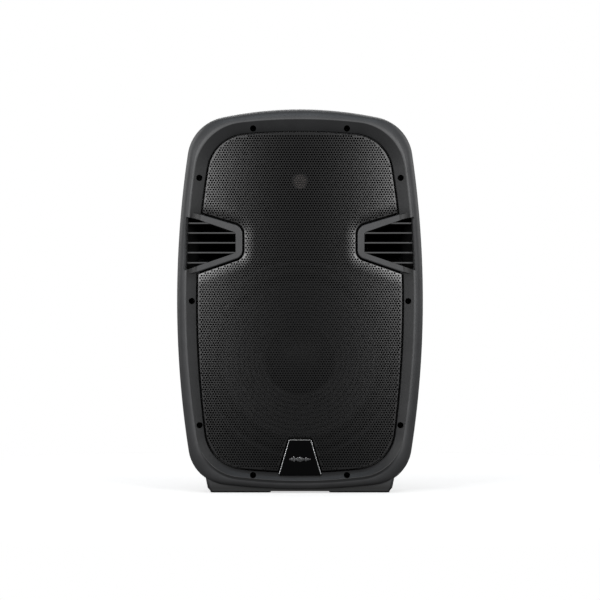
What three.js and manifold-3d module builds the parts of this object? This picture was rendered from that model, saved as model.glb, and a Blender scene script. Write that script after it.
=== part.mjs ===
// Powered two-way loudspeaker cabinet with a 15-inch woofer and a compression-driver horn.
// Millimetres, +Z up. The front faces -Y and the origin lies under the middle of the cabinet,
// on the plane that its rubber feet stand on.

import * as THREE from 'three';
import { mergeVertices } from 'three/addons/utils/BufferGeometryUtils.js';
import Module from 'manifold-3d';

const wasm = await Module();
wasm.setup();

// ---------------------------------------------------------------- driving dimensions

const DEPTH = 370; // front ridge to rear face
const CENTRE_Z = 339.4; // height of the widest line of the front
const HALF_WIDTH = 218.3;
const FIT = 0.3; // gap between pieces that rest on each other
const CUT = 2; // how far a cutting solid runs past the surface that it opens

// Each half of an outline is three tangent arcs: a long side arc, a corner and a long end arc.
const arcs = (reach, sideRadius, endRadius, cornerRadius) => ({
  reach,
  sideRadius,
  endRadius,
  cornerRadius,
});
const SILHOUETTE = {
  halfWidth: HALF_WIDTH,
  top: arcs(340.6, 1800, 666, 77.6),
  bottom: arcs(333.6, 1730, 1175, 71),
};
const RIDGE = {
  halfWidth: 202,
  top: arcs(322.2, 1775, 930, 92.6),
  bottom: arcs(321.5, 1542, 893, 83.3),
};
const OPENING = {
  halfWidth: 184,
  top: arcs(301, 1435, 1147, 72.6),
  bottom: arcs(303.5, 1860, 1010, 73.6),
};
const REAR = {
  halfWidth: 135,
  top: arcs(292, 1500, 600, 60),
  bottom: arcs(318, 1500, 900, 60),
};

// Depths are measured back from the plane of the front ridge.
const WIDEST_DEPTH = 35;
const OPENING_DEPTH = 14;
const SEAM_DEPTH = 95;
const REAR_CORNER_DEPTH = 355;
const GRILLE_LEDGE_DEPTH = 30;
const BAFFLE_DEPTH = 42;
const BAFFLE_BACK = 50;
const SKIN = 4;
const SEAM_INSET = 2;

const PLINTH_BOTTOM = 2.6;
const PLINTH_FRONT = 18;
const PLINTH_BACK = 330;

const PORT_FRAME_DEPTH = 7;
const PORT_BACK = 150;
const PORT_WALL = 3;
const SLAT_HEIGHTS = [407.2, 425.1, 442.5, 459.9, 477.2];
const SLAT_THICKNESS = 2.7;

const SHELL_SCREWS = [
  [83, 644.8],
  [178, 557.5],
  [191.4, 339.6],
  [177.7, 120.1],
  [83, 31.8],
];
const SCREW_TUNNEL_RADIUS = 5.5;
const SCREW_SEAT_DEPTH = 70;

const WOOFER_Z = 237;
const WOOFER_HOLE_RADIUS = 176;
const HORN_Z = 556;
const THROAT_RADIUS = 12.7;

const POLE_DEPTH = 165;
const POLE_BORE_RADIUS = 18.25;
const POLE_SOCKET_TOP = 95;

const PANEL_Z = 300;
const PANEL_HALF_WIDTH = 98;
const PANEL_HALF_HEIGHT = 160;
const PANEL_SEAT_DEPTH = 353;
const PANEL_FACE_DEPTH = 356.3;
const KNOB_Z = 320;
const KNOB_PLACES = [-70, -35, 0, 35, 70];
const SOCKET_Z = 265;
const SOCKET_PLACES = { input_1: -62, input_2: 0, output: 62 };
const SWITCH_Z = 228;
const MAINS_Z = 180;
const INLET_X = 38;
const ROCKER_X = -50;
const TRANSFORMER_X = -8;
const TRANSFORMER_Z = 195;

const TOP_HANDLE = { depth: 186, halfLength: 75, halfGap: 36, floor: 614, top: 665 };
const SIDE_HANDLE = { depth: 203, z: 352, halfLength: 62, halfGap: 33, floor: 150, slope: 0.3 };

// ---------------------------------------------------------------- outlines

const at = (depth) => depth - DEPTH / 2;
const vector = (x, y) => new THREE.Vector2(x, y);

function arcPoints(centre, radius, from, to, steps) {
  const points = [];
  for (let i = 0; i <= steps; i += 1) {
    const angle = from + ((to - from) * i) / steps;
    points.push(vector(centre.x + radius * Math.cos(angle), centre.y + radius * Math.sin(angle)));
  }
  return points;
}

// One quarter of an outline about its own centre, from the side round to the end.
function quarterPoints(halfWidth, { reach, sideRadius, endRadius, cornerRadius }) {
  const sideCentre = vector(halfWidth - sideRadius, 0);
  const endCentre = vector(0, reach - endRadius);
  const gap = sideCentre.distanceTo(endCentre);
  const toSide = sideRadius - cornerRadius;
  const toEnd = endRadius - cornerRadius;
  const along = (toSide ** 2 - toEnd ** 2 + gap ** 2) / (2 * gap);
  const aside = Math.sqrt(toSide ** 2 - along ** 2);
  const unit = endCentre.clone().sub(sideCentre).divideScalar(gap);
  const cornerCentre = vector(
    sideCentre.x + unit.x * along - unit.y * aside,
    sideCentre.y + unit.y * along + unit.x * aside,
  );
  const sideEnd = cornerCentre.clone().sub(sideCentre).angle();
  const cornerEnd = cornerCentre.clone().sub(endCentre).angle();
  return [
    ...arcPoints(sideCentre, sideRadius, 0, sideEnd, 2),
    ...arcPoints(cornerCentre, cornerRadius, sideEnd, cornerEnd, 4).slice(1),
    ...arcPoints(endCentre, endRadius, cornerEnd, Math.PI / 2, 2).slice(1),
  ];
}

// The whole outline, as points in X and Z, from the right-hand side over the top and back.
function outlinePoints(outline) {
  const top = quarterPoints(outline.halfWidth, outline.top);
  const bottom = quarterPoints(outline.halfWidth, outline.bottom);
  const place = (points, signX, signZ) =>
    points.map((point) => vector(signX * point.x, CENTRE_Z + signZ * point.y));
  return [
    ...place(top, 1, 1).slice(0, -1),
    ...place(top, -1, 1).reverse().slice(0, -1),
    ...place(bottom, -1, -1).slice(0, -1),
    ...place(bottom, 1, -1).reverse().slice(0, -1),
  ];
}

function mapOutlines(a, b, combine) {
  const half = (name) =>
    Object.fromEntries(Object.keys(a[name]).map((key) => [key, combine(a[name][key], b[name][key])]));
  return { halfWidth: combine(a.halfWidth, b.halfWidth), top: half('top'), bottom: half('bottom') };
}

const blend = (a, b, share) => mapOutlines(a, b, (p, q) => p + (q - p) * share);
const inset = (outline, distance) => mapOutlines(outline, outline, (value) => value - distance);

// Outward offset of a convex polygon of [x, y, cornerRadius] corners, listed anticlockwise.
function grown(corners, distance) {
  return corners.map(([x, y, radius], i) => {
    const [x0, y0] = corners.at(i - 1);
    const [x1, y1] = corners[(i + 1) % corners.length];
    const before = vector(x - x0, y - y0).normalize();
    const after = vector(x1 - x, y1 - y).normalize();
    const reach = distance / before.cross(after);
    return [
      x + (before.x - after.x) * reach,
      y + (before.y - after.y) * reach,
      Math.max(radius + distance, 0),
    ];
  });
}

// Points of a polygon whose corners are rounded.
function filleted(corners, steps = 3) {
  return corners.flatMap(([x, y, radius], i) => {
    if (radius <= 0) {
      return [vector(x, y)];
    }
    const corner = vector(x, y);
    const [x0, y0] = corners.at(i - 1);
    const [x1, y1] = corners[(i + 1) % corners.length];
    const back = vector(x0 - x, y0 - y).normalize();
    const ahead = vector(x1 - x, y1 - y).normalize();
    const half = Math.acos(THREE.MathUtils.clamp(back.dot(ahead), -1, 1)) / 2;
    const bisector = back.clone().add(ahead).normalize();
    const centre = corner.clone().addScaledVector(bisector, radius / Math.sin(half));
    const tangent = radius / Math.tan(half);
    const start = corner.clone().addScaledVector(back, tangent).sub(centre).angle();
    const sweep = (Math.PI - 2 * half) * Math.sign(ahead.cross(back));
    return arcPoints(centre, radius, start, start + sweep, steps);
  });
}

const rectangle = (x, y, halfWidth, halfHeight, radius = 0) => [
  [x + halfWidth, y - halfHeight, radius],
  [x + halfWidth, y + halfHeight, radius],
  [x - halfWidth, y + halfHeight, radius],
  [x - halfWidth, y - halfHeight, radius],
];

const mirrored = (corners) => corners.map(([x, y, radius]) => [-x, y, radius]).reverse();

// ---------------------------------------------------------------- solids

function solid(geometry) {
  const bare = geometry.clone();
  bare.deleteAttribute('normal');
  bare.deleteAttribute('uv');
  const merged = mergeVertices(bare, 1e-3);
  const position = merged.getAttribute('position').array;
  const index = merged.getIndex().array;
  const triangles = [];
  for (let i = 0; i < index.length; i += 3) {
    const [a, b, c] = index.slice(i, i + 3);
    if (a !== b && b !== c && c !== a) {
      triangles.push(a, b, c);
    }
  }
  if (signedVolume(position, triangles) < 0) {
    triangles.reverse();
  }
  const mesh = new wasm.Mesh({
    numProp: 3,
    vertProperties: new Float32Array(position),
    triVerts: new Uint32Array(triangles),
  });
  return new wasm.Manifold(mesh);
}

function signedVolume(position, triangles) {
  const corner = (index) => new THREE.Vector3().fromArray(position, 3 * index);
  let total = 0;
  for (let i = 0; i < triangles.length; i += 3) {
    const [a, b, c] = triangles.slice(i, i + 3).map(corner);
    total += a.dot(b.cross(c)) / 6;
  }
  return total;
}

function geometryOf(shape) {
  const { vertProperties, triVerts } = shape.getMesh();
  const geometry = new THREE.BufferGeometry();
  geometry.setAttribute('position', new THREE.BufferAttribute(new Float32Array(vertProperties), 3));
  geometry.setIndex(new THREE.BufferAttribute(new Uint32Array(triVerts), 1));
  geometry.computeVertexNormals();
  return geometry;
}

const union = (shapes) => shapes.reduce((whole, shape) => whole.add(shape));
const cut = (shape, tools) => tools.reduce((rest, tool) => rest.subtract(tool), shape);

// Closed skin through outlines of equal point count, each { y, points }, front to back.
function loft(sections) {
  const count = sections[0].points.length;
  const positions = [];
  const index = [];
  for (const { y, points } of sections) {
    points.forEach((point) => positions.push(point.x, y, point.y));
  }
  for (let ring = 0; ring + 1 < sections.length; ring += 1) {
    for (let i = 0; i < count; i += 1) {
      const next = (i + 1) % count;
      const front = ring * count;
      const back = front + count;
      index.push(front + i, back + i, back + next, front + i, back + next, front + next);
    }
  }
  const last = (sections.length - 1) * count;
  for (const [a, b, c] of THREE.ShapeUtils.triangulateShape(sections[0].points, [])) {
    index.push(a, b, c);
  }
  for (const [a, b, c] of THREE.ShapeUtils.triangulateShape(sections.at(-1).points, [])) {
    index.push(last + a, last + c, last + b);
  }
  const geometry = new THREE.BufferGeometry();
  geometry.setAttribute('position', new THREE.Float32BufferAttribute(positions, 3));
  geometry.setIndex(index);
  return solid(geometry);
}

const section = (depth, outline) => ({ y: at(depth), points: outlinePoints(outline) });

// Prism of an X-Z outline between two depths.
function prism(points, frontDepth, backDepth) {
  const options = { depth: backDepth - frontDepth, bevelEnabled: false };
  const geometry = new THREE.ExtrudeGeometry(new THREE.Shape(points), options);
  geometry.rotateX(Math.PI / 2);
  geometry.translate(0, at(backDepth), 0);
  return solid(geometry);
}

// Prism of an X-Y outline (Y as a depth) between two heights.
function column(points, bottom, top) {
  const shape = new THREE.Shape(points.map((point) => vector(point.x, at(point.y))));
  const geometry = new THREE.ExtrudeGeometry(shape, { depth: top - bottom, bevelEnabled: false });
  geometry.translate(0, 0, bottom);
  return solid(geometry);
}

// Prism of a depth-Z outline between two values of X.
function crossbar(points, left, right) {
  const shape = new THREE.Shape(points.map((point) => vector(at(point.x), point.y)));
  const geometry = new THREE.ExtrudeGeometry(shape, { depth: right - left, bevelEnabled: false });
  geometry.applyMatrix4(new THREE.Matrix4().set(0, 0, 1, left, 1, 0, 0, 0, 0, 1, 0, 0, 0, 0, 0, 1));
  return solid(geometry);
}

function rod(x, z, radius, frontDepth, backDepth, segments = 16) {
  const geometry = new THREE.CylinderGeometry(radius, radius, backDepth - frontDepth, segments);
  geometry.translate(x, at((frontDepth + backDepth) / 2), z);
  return solid(geometry);
}

function post(x, depth, radius, bottom, top, segments = 20) {
  const geometry = new THREE.CylinderGeometry(radius, radius, top - bottom, segments);
  geometry.rotateX(Math.PI / 2);
  geometry.translate(x, at(depth), (bottom + top) / 2);
  return solid(geometry);
}

// Body turned about a line along Y, from [radius, depth] points of its closed section.
function turned(profile, segments = 20) {
  const points = profile.map(([radius, depth]) => vector(radius, at(depth)));
  return solid(new THREE.LatheGeometry([...points, points[0]], segments));
}

// ---------------------------------------------------------------- materials

const finish = (color, roughness, metalness = 0) => ({ color, roughness, metalness });
const FINISH = {
  cabinet: finish(0x2b2c2e, 0.62),
  louvre: finish(0x303134, 0.55),
  grille: finish(0x1c1d1f, 0.5, 0.6),
  badge: finish(0x08090b, 0.15),
  screw: finish(0x17181a, 0.4, 0.7),
  basket: finish(0x1b1c1e, 0.5, 0.6),
  paper: finish(0x141416, 0.9),
  rubber: finish(0x0f0f10, 0.85),
  spider: finish(0xb58a3c, 0.9),
  copper: finish(0xa35a32, 0.35, 0.9),
  steel: finish(0xa7a9ab, 0.35, 0.9),
  ferrite: finish(0x232326, 0.8),
  horn: finish(0x232426, 0.45),
  titanium: finish(0x8f9298, 0.3, 0.9),
  panel: finish(0x1a1b1d, 0.5, 0.5),
  heatsink: finish(0x26272a, 0.45, 0.8),
  board: finish(0x1f4d33, 0.6),
  socket: finish(0x111214, 0.4),
  rocker: finish(0x1a0f0f, 0.3),
  knob: finish(0x1b1c1f, 0.5),
};

const cabinet = new THREE.Group();

function piece(name, shape, look, parent = cabinet) {
  const material = new THREE.MeshStandardMaterial({ ...FINISH[look], flatShading: true });
  const mesh = new THREE.Mesh(geometryOf(shape), material);
  mesh.name = name;
  parent.add(mesh);
  return mesh;
}

// ---------------------------------------------------------------- shell shape

// The front band swings like a quarter ellipse from the ridge out to the widest line.
function frontBand(steps) {
  const sections = [];
  for (let i = 0; i <= steps; i += 1) {
    const angle = ((Math.PI / 2) * i) / steps;
    const outline = blend(RIDGE, SILHOUETTE, Math.sin(angle));
    sections.push(section(WIDEST_DEPTH * (1 - Math.cos(angle)), outline));
  }
  return sections;
}

// Behind the seam the walls draw in towards the smaller rear face.
function rearOutline(depth) {
  const share = Math.min((depth - SEAM_DEPTH) / (REAR_CORNER_DEPTH - SEAM_DEPTH), 1);
  return blend(inset(SILHOUETTE, SEAM_INSET), REAR, Math.max(share, 0) ** 1.35);
}

function rearBody(distance, fromDepth, toDepth) {
  const stops = [150, 205, 260, 310, REAR_CORNER_DEPTH].filter((depth) => depth < toDepth);
  const depths = [fromDepth, ...stops, toDepth];
  return loft(depths.map((depth) => section(depth, inset(rearOutline(depth), distance))));
}

function rearOuterBody() {
  const body = rearBody(0, SEAM_DEPTH + FIT / 2, REAR_CORNER_DEPTH + 5);
  const rounding = [
    [REAR_CORNER_DEPTH + 5, 0],
    [REAR_CORNER_DEPTH + 12, 3],
    [DEPTH, 12],
  ];
  return body.add(loft(rounding.map(([depth, edge]) => section(depth, inset(REAR, edge)))));
}

// The base that the cabinet stands on narrows to the rear and upwards flares a little.
function plinth(frontDepth, backDepth) {
  const halfWidthAt = (depth) =>
    160 - (42 * Math.max(depth - SEAM_DEPTH, 0)) / (PLINTH_BACK - SEAM_DEPTH);
  const ring = (flare) => {
    const [front, back] = [frontDepth, backDepth];
    return [
      vector(halfWidthAt(front) + flare, front),
      vector(halfWidthAt(back) + flare, back),
      vector(-halfWidthAt(back) - flare, back),
      vector(-halfWidthAt(front) - flare, front),
    ];
  };
  const levels = [
    [PLINTH_BOTTOM, 0],
    [PLINTH_BOTTOM + 6, 3.8],
    [26, 7.5],
  ];
  const positions = levels.flatMap(([z, flare]) =>
    ring(flare).flatMap((point) => [point.x, at(point.y), z]),
  );
  const index = [0, 2, 1, 0, 3, 2, 8, 9, 10, 8, 10, 11];
  for (const level of [0, 4]) {
    for (let i = 0; i < 4; i += 1) {
      const next = (i + 1) % 4;
      const [a, b, c, d] = [level + i, level + next, level + 4 + next, level + 4 + i];
      index.push(a, b, c, a, c, d);
    }
  }
  const geometry = new THREE.BufferGeometry();
  geometry.setAttribute('position', new THREE.Float32BufferAttribute(positions, 3));
  geometry.setIndex(index);
  return solid(geometry);
}

const bothSides = (make) => [1, -1].map(make);
const onSide = (side, corners) => (side > 0 ? corners : mirrored(corners));
const screwPlaces = SHELL_SCREWS.flatMap(([x, z]) => [
  [-x, z],
  [x, z],
]);

// ---------------------------------------------------------------- port shapes

// Port mouth on the +X side, pulled in from its outer edge for sections further back.
const portMouth = (pulledIn = 0) => [
  [205.7 - pulledIn, 393.5 + pulledIn * 0.345, 2],
  [202.3 - pulledIn, 488.1 - pulledIn * 0.343, 2],
  [181 - pulledIn * 0.4, 483.8 - pulledIn * 0.3, 8],
  [114, 460.8, 4],
  [114, 424.9, 4],
];

// Outside of the flat bar that frames the mouth; it runs on past the rim of the shell.
const PORT_FRAME = [
  [230, 373.5, 0],
  [230, 509.7, 0],
  [101.4, 471.2, 18],
  [101.4, 417.7, 16],
];

const BADGE = [
  [38.2, 31.7, 1.5],
  [19.4, 95.3, 1.5],
  [-19.4, 95.3, 1.5],
  [-38.2, 31.7, 1.5],
];

// ---------------------------------------------------------------- front shell

const hornHole = rectangle(0, HORN_Z, 119, 65, 14);

// The whole front moulding, before the port frames are parted from it.
function frontMoulding() {
  const skin = loft([...frontBand(3), section(SEAM_DEPTH - FIT / 2, inset(SILHOUETTE, SEAM_INSET))]);
  const outer = skin.add(plinth(PLINTH_FRONT, SEAM_DEPTH - FIT / 2));

  const hollow = loft([
    section(9, inset(blend(RIDGE, SILHOUETTE, 0.65), 7)),
    section(20, inset(blend(RIDGE, SILHOUETTE, 0.9), SKIN)),
    section(SEAM_DEPTH + CUT, inset(SILHOUETTE, SEAM_INSET + SKIN)),
  ]);
  const tub = loft([
    section(4, inset(blend(RIDGE, OPENING, 4 / OPENING_DEPTH), -PORT_WALL)),
    section(OPENING_DEPTH, inset(OPENING, -PORT_WALL)),
    section(BAFFLE_BACK, inset(OPENING, -PORT_WALL)),
  ]);
  const portBlocks = bothSides((side) =>
    prism(filleted(onSide(side, PORT_FRAME)), PORT_FRAME_DEPTH, BAFFLE_BACK).intersect(skin),
  );
  const screwPosts = screwPlaces.map(([x, z]) =>
    rod(x, z, 8, 5, SEAM_DEPTH - FIT / 2, 8).intersect(skin),
  );
  const shell = union([outer.subtract(hollow.subtract(tub)), ...screwPosts]);

  const recess = loft([
    section(-CUT, inset(RIDGE, 0.8 - CUT)),
    section(0, inset(RIDGE, 0.8)),
    section(OPENING_DEPTH, OPENING),
    section(GRILLE_LEDGE_DEPTH, OPENING),
  ]);
  const recessFloor = loft([
    section(GRILLE_LEDGE_DEPTH - 1, inset(OPENING, 5)),
    section(BAFFLE_DEPTH, inset(OPENING, 5)),
  ]);
  const wooferRing = turned(
    [
      [WOOFER_HOLE_RADIUS - 1, BAFFLE_DEPTH - 4],
      [WOOFER_HOLE_RADIUS + 8, BAFFLE_DEPTH - 4],
      [WOOFER_HOLE_RADIUS + 10, BAFFLE_DEPTH + 1],
      [WOOFER_HOLE_RADIUS - 1, BAFFLE_DEPTH + 1],
    ],
    32,
  ).translate([0, 0, WOOFER_Z]);
  const badgePost = prism(filleted(grown(BADGE, -7)), 13 + FIT, BAFFLE_DEPTH + 1);
  const open = cut(shell, [recess, recessFloor]);
  const fitted = union([open, ...portBlocks, wooferRing.intersect(skin), badgePost.intersect(skin)]);

  return cut(fitted, [
    rod(0, WOOFER_Z, WOOFER_HOLE_RADIUS, BAFFLE_DEPTH - 5, BAFFLE_BACK + CUT, 32),
    prism(filleted(hornHole), BAFFLE_DEPTH - CUT, BAFFLE_BACK + CUT),
    prism(filleted(grown(BADGE, FIT)), 3.5, 13 + FIT),
    ...bothSides((side) => prism(filleted(onSide(side, portMouth())), -CUT, BAFFLE_BACK + CUT)),
    ...screwPlaces.map(([x, z]) => rod(x, z, SCREW_TUNNEL_RADIUS, -CUT, SCREW_SEAT_DEPTH, 8)),
    ...screwPlaces.map(([x, z]) => rod(x, z, 2.6, SCREW_SEAT_DEPTH - 1, SEAM_DEPTH + CUT, 6)),
  ]);
}

const portZone = (side, growth) =>
  prism(filleted(onSide(side, grown(PORT_FRAME, growth))), -CUT, SEAM_DEPTH + CUT);

const frontShell = (moulding) => cut(moulding, bothSides((side) => portZone(side, FIT)));

const portFrame = (moulding, side) => moulding.intersect(portZone(side, 0));

function shellScrew() {
  const head = rod(0, 0, 4.6, SCREW_SEAT_DEPTH - 3.6, SCREW_SEAT_DEPTH - FIT, 8);
  const shank = rod(0, 0, 2, SCREW_SEAT_DEPTH - 1, SEAM_DEPTH + 24, 6);
  return head.add(shank);
}

// ---------------------------------------------------------------- grille, badge, ports

const GRILLE_GAP = 2.3;
const GRILLE_SHEET = 1.5;
const GRILLE_EDGE_DEPTH = 14.5;
const GRILLE_CROWN = 11;

// Space between the crowned front of the grille, moved back by `behind`, and a flat back.
function behindCrown(behind, backDepth) {
  const halfWidth = OPENING.halfWidth + 4;
  const steps = 14;
  const front = [];
  for (let i = 0; i <= steps; i += 1) {
    const x = halfWidth * ((2 * i) / steps - 1);
    const rise = GRILLE_CROWN * (1 - (x / halfWidth) ** 2);
    front.push(vector(x, GRILLE_EDGE_DEPTH - rise + behind));
  }
  return column([...front, vector(halfWidth, backDepth), vector(-halfWidth, backDepth)], 0, 700);
}

function grilleRegion(margin) {
  const gap = GRILLE_GAP + margin;
  const face = loft([section(-CUT, inset(OPENING, gap)), section(BAFFLE_DEPTH, inset(OPENING, gap))]);
  return cut(face, [
    prism(filleted(grown(PORT_FRAME, gap)), -2 * CUT, BAFFLE_DEPTH + CUT),
    prism(filleted(grown(mirrored(PORT_FRAME), gap)), -2 * CUT, BAFFLE_DEPTH + CUT),
    prism(filleted(grown(BADGE, gap)), -2 * CUT, BAFFLE_DEPTH + CUT),
  ]);
}

function grille() {
  const lipDepth = GRILLE_LEDGE_DEPTH - 1 - FIT;
  const block = grilleRegion(0).intersect(behindCrown(0, lipDepth));
  const inside = grilleRegion(GRILLE_SHEET).intersect(behindCrown(GRILLE_SHEET, lipDepth + CUT));
  return block.subtract(inside);
}

function badge() {
  const plate = prism(filleted(BADGE), 3.5, 13);
  const face = prism(filleted(grown(BADGE, -2.4)), 2, 4.5);
  return plate.subtract(face);
}

// Five slats tied together by a frame that lines the mouth behind them.
function portLouvre(side) {
  const mouth = grown(portMouth(), -FIT);
  const inside = prism(filleted(onSide(side, mouth)), 0, BAFFLE_BACK);
  const frame = inside
    .intersect(prism(filleted(onSide(side, mouth)), 30, 38))
    .subtract(prism(filleted(onSide(side, grown(mouth, -2.4))), 29, 39));
  const slats = SLAT_HEIGHTS.map((z) => {
    const profile = filleted(rectangle((8 + 36) / 2, z, (36 - 8) / 2, SLAT_THICKNESS / 2));
    return crossbar(profile, -HALF_WIDTH, HALF_WIDTH).intersect(inside);
  });
  return union([frame, ...slats]);
}

function portDuct(side) {
  const ring = (growth, frontDepth, backDepth) =>
    loft([
      { y: at(frontDepth), points: filleted(onSide(side, grown(portMouth(), growth))) },
      { y: at(backDepth), points: filleted(onSide(side, grown(portMouth(16), growth))) },
    ]);
  const wall = ring(PORT_WALL, BAFFLE_BACK + FIT, PORT_BACK);
  return wall.subtract(ring(0, BAFFLE_BACK + FIT - 0.5, PORT_BACK + 0.5));
}

// ---------------------------------------------------------------- rear shell

function handlePockets(growth) {
  const top = TOP_HANDLE;
  const side = SIDE_HANDLE;
  const topMouth = rectangle(0, top.depth, top.halfLength, top.halfGap, 16);
  const sideMouth = rectangle(side.depth, side.z, side.halfGap, side.halfLength, 16);
  return [
    column(filleted(grown(topMouth, growth)), top.floor - growth, 720),
    crossbar(filleted(grown(sideMouth, growth)), side.floor - growth, 260),
    crossbar(filleted(grown(sideMouth, growth)), -260, -side.floor + growth),
  ];
}

function rearShell() {
  const outer = union([rearOuterBody(), plinth(SEAM_DEPTH + FIT / 2, PLINTH_BACK)]);
  const panelSeat = rectangle(0, PANEL_Z, PANEL_HALF_WIDTH + 0.8, PANEL_HALF_HEIGHT + 0.8, 7);
  const seatBlock = prism(filleted(grown(panelSeat, SKIN)), PANEL_SEAT_DEPTH - 5, DEPTH + CUT);
  const poleBlock = post(0, POLE_DEPTH, 30, PLINTH_BOTTOM, 40);
  const hollow = cut(
    rearBody(SKIN, SEAM_DEPTH - CUT, REAR_CORNER_DEPTH + 9),
    [...handlePockets(SKIN), seatBlock, poleBlock],
  );
  const bosses = screwPlaces.flatMap(([x, z]) => {
    const outward = vector(x, (z - CENTRE_Z) * 0.62).normalize().multiplyScalar(34);
    const across = vector(-outward.y, outward.x).normalize().multiplyScalar(1.6);
    const web = [
      vector(x - across.x, z - across.y),
      vector(x + outward.x - across.x, z + outward.y - across.y),
      vector(x + outward.x + across.x, z + outward.y + across.y),
      vector(x + across.x, z + across.y),
    ];
    return [
      rod(x, z, 6, SEAM_DEPTH + FIT / 2, SEAM_DEPTH + 28, 8),
      prism(web, SEAM_DEPTH + FIT / 2, SEAM_DEPTH + 26),
    ].map((shape) => shape.intersect(outer));
  });
  const shell = union([outer.subtract(hollow), ...bosses]);
  return cut(shell, [
    ...handlePockets(0),
    prism(filleted(panelSeat), PANEL_SEAT_DEPTH, DEPTH + CUT),
    prism(
      filleted(rectangle(0, PANEL_Z, PANEL_HALF_WIDTH - 8, PANEL_HALF_HEIGHT - 8, 4)),
      PANEL_SEAT_DEPTH - 8,
      PANEL_SEAT_DEPTH + CUT,
    ),
    post(0, POLE_DEPTH, 36.5, 0, PLINTH_BOTTOM + 3.4),
    post(0, POLE_DEPTH, 23, 0, 60),
    ...screwPlaces.map(([x, z]) => rod(x, z, 2.6, SEAM_DEPTH - CUT, SEAM_DEPTH + 26, 6)),
  ]);
}

function topHandle() {
  const { depth, halfLength, top } = TOP_HANDLE;
  const profile = filleted(rectangle(depth, top - 8, 12, 7.5, 6));
  return crossbar(profile, FIT - halfLength, halfLength - FIT);
}

function sideHandle(side) {
  const { depth, z, halfLength, slope } = SIDE_HANDLE;
  const angle = Math.atan(slope);
  const profile = filleted(rectangle(0, 0, 6.5, 11.5, 5.5)).map((point) =>
    vector(
      side * (182 + point.x * Math.cos(angle) - point.y * Math.sin(angle)),
      depth + point.x * Math.sin(angle) + point.y * Math.cos(angle),
    ),
  );
  return column(profile, z - halfLength + FIT, z + halfLength - FIT);
}

function poleSocket() {
  const flange = post(0, POLE_DEPTH, 36, PLINTH_BOTTOM, PLINTH_BOTTOM + 3.1);
  const tube = post(0, POLE_DEPTH, 22.5, PLINTH_BOTTOM + 2, POLE_SOCKET_TOP);
  return flange.add(tube).subtract(
    post(0, POLE_DEPTH, POLE_BORE_RADIUS, 0, POLE_SOCKET_TOP - 3),
  );
}

function footPad(innerX, outerX, frontDepth, backDepth) {
  const middle = [(innerX + outerX) / 2, (frontDepth + backDepth) / 2];
  const halves = [Math.abs(outerX - innerX) / 2, (backDepth - frontDepth) / 2];
  return column(filleted(rectangle(...middle, ...halves, 8)), 0, PLINTH_BOTTOM - FIT);
}

// ---------------------------------------------------------------- woofer

function wooferBasket() {
  const front = BAFFLE_BACK + FIT;
  const body = turned(
    [
      [171.5, front],
      [193, front],
      [193, front + 3],
      [176, front + 3],
      [174, front + 8],
      [88, 143.3],
      [36, 143.3],
      [36, 140.3],
      [86.5, 140.3],
      [163, front + 6.5],
      [163, front + 3.6],
      [171.5, front + 3.6],
    ],
    24,
  );
  const windows = [];
  for (let i = 0; i < 6; i += 1) {
    const angle = (i * Math.PI) / 3;
    const geometry = new THREE.BoxGeometry(200, 58, 64);
    geometry.translate(155, at(100), 0);
    geometry.rotateY(angle);
    windows.push(solid(geometry));
  }
  return cut(body, windows);
}

const CONE_EDGE_DEPTH = 54.4;
const CONE_NECK_DEPTH = 106;
const CONE_RADIUS = 146;
const COIL_RADIUS = 33.2;

const coneDepthAt = (radius) =>
  CONE_EDGE_DEPTH +
  ((CONE_NECK_DEPTH - CONE_EDGE_DEPTH) * (CONE_RADIUS - radius)) / (CONE_RADIUS - COIL_RADIUS);

function wooferCone() {
  const neck = COIL_RADIUS + FIT;
  return turned(
    [
      [CONE_RADIUS, coneDepthAt(CONE_RADIUS)],
      [CONE_RADIUS, coneDepthAt(CONE_RADIUS) + 1.4],
      [neck, CONE_NECK_DEPTH + 4],
      [neck, CONE_NECK_DEPTH],
    ],
    24,
  );
}

function domed(edgeRadius, edgeDepth, rise, thickness, steps) {
  const arc = (radius, height, depth) => {
    const points = [];
    for (let i = 0; i <= steps; i += 1) {
      const share = i / steps;
      points.push([radius * (1 - share), depth - height * (1 - (1 - share) ** 2)]);
    }
    return points;
  };
  const outside = arc(edgeRadius, rise, edgeDepth);
  const inside = arc(edgeRadius - thickness, rise - thickness, edgeDepth).reverse();
  return [...outside, ...inside];
}

function wooferSurround() {
  const steps = 2;
  const roll = (radius) =>
    Array.from({ length: steps + 1 }, (_, i) => {
      const angle = Math.PI * (1 - i / steps);
      return [156.5 + radius * Math.cos(angle), 53.4 - radius * 0.8 * Math.sin(angle)];
    });
  return turned(
    [[140, 53.4], ...roll(10.5), [170.8, 53.4], [170.8, 53.8], ...roll(9.6).reverse(), [140, 53.9]],
    24,
  );
}

function wooferSpider() {
  const folds = 4;
  const wave = (offset) =>
    Array.from({ length: folds + 1 }, (_, i) => {
      const radius = 34.2 + (64 * i) / folds;
      return [radius, 122 + offset + (i % 2 === 0 ? 0 : -3.5)];
    });
  return turned([...wave(0), ...wave(1).reverse()], 16);
}

const ring = (inner, outer, front, back) => [
  [inner, front],
  [outer, front],
  [outer, back],
  [inner, back],
];

// The magnet ring with the front plate that is bonded to it.
function wooferMagnet() {
  return union([turned(ring(34.4, 72, 143.6, 151.6)), turned(ring(42, 85, 151.6, 176.9))]);
}

function wooferPolePlate() {
  return turned([
    [12, 146],
    [31, 146],
    [31, 177.2],
    [72, 177.2],
    [72, 185.2],
    [12, 185.2],
  ]);
}

// ---------------------------------------------------------------- horn and driver

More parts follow.
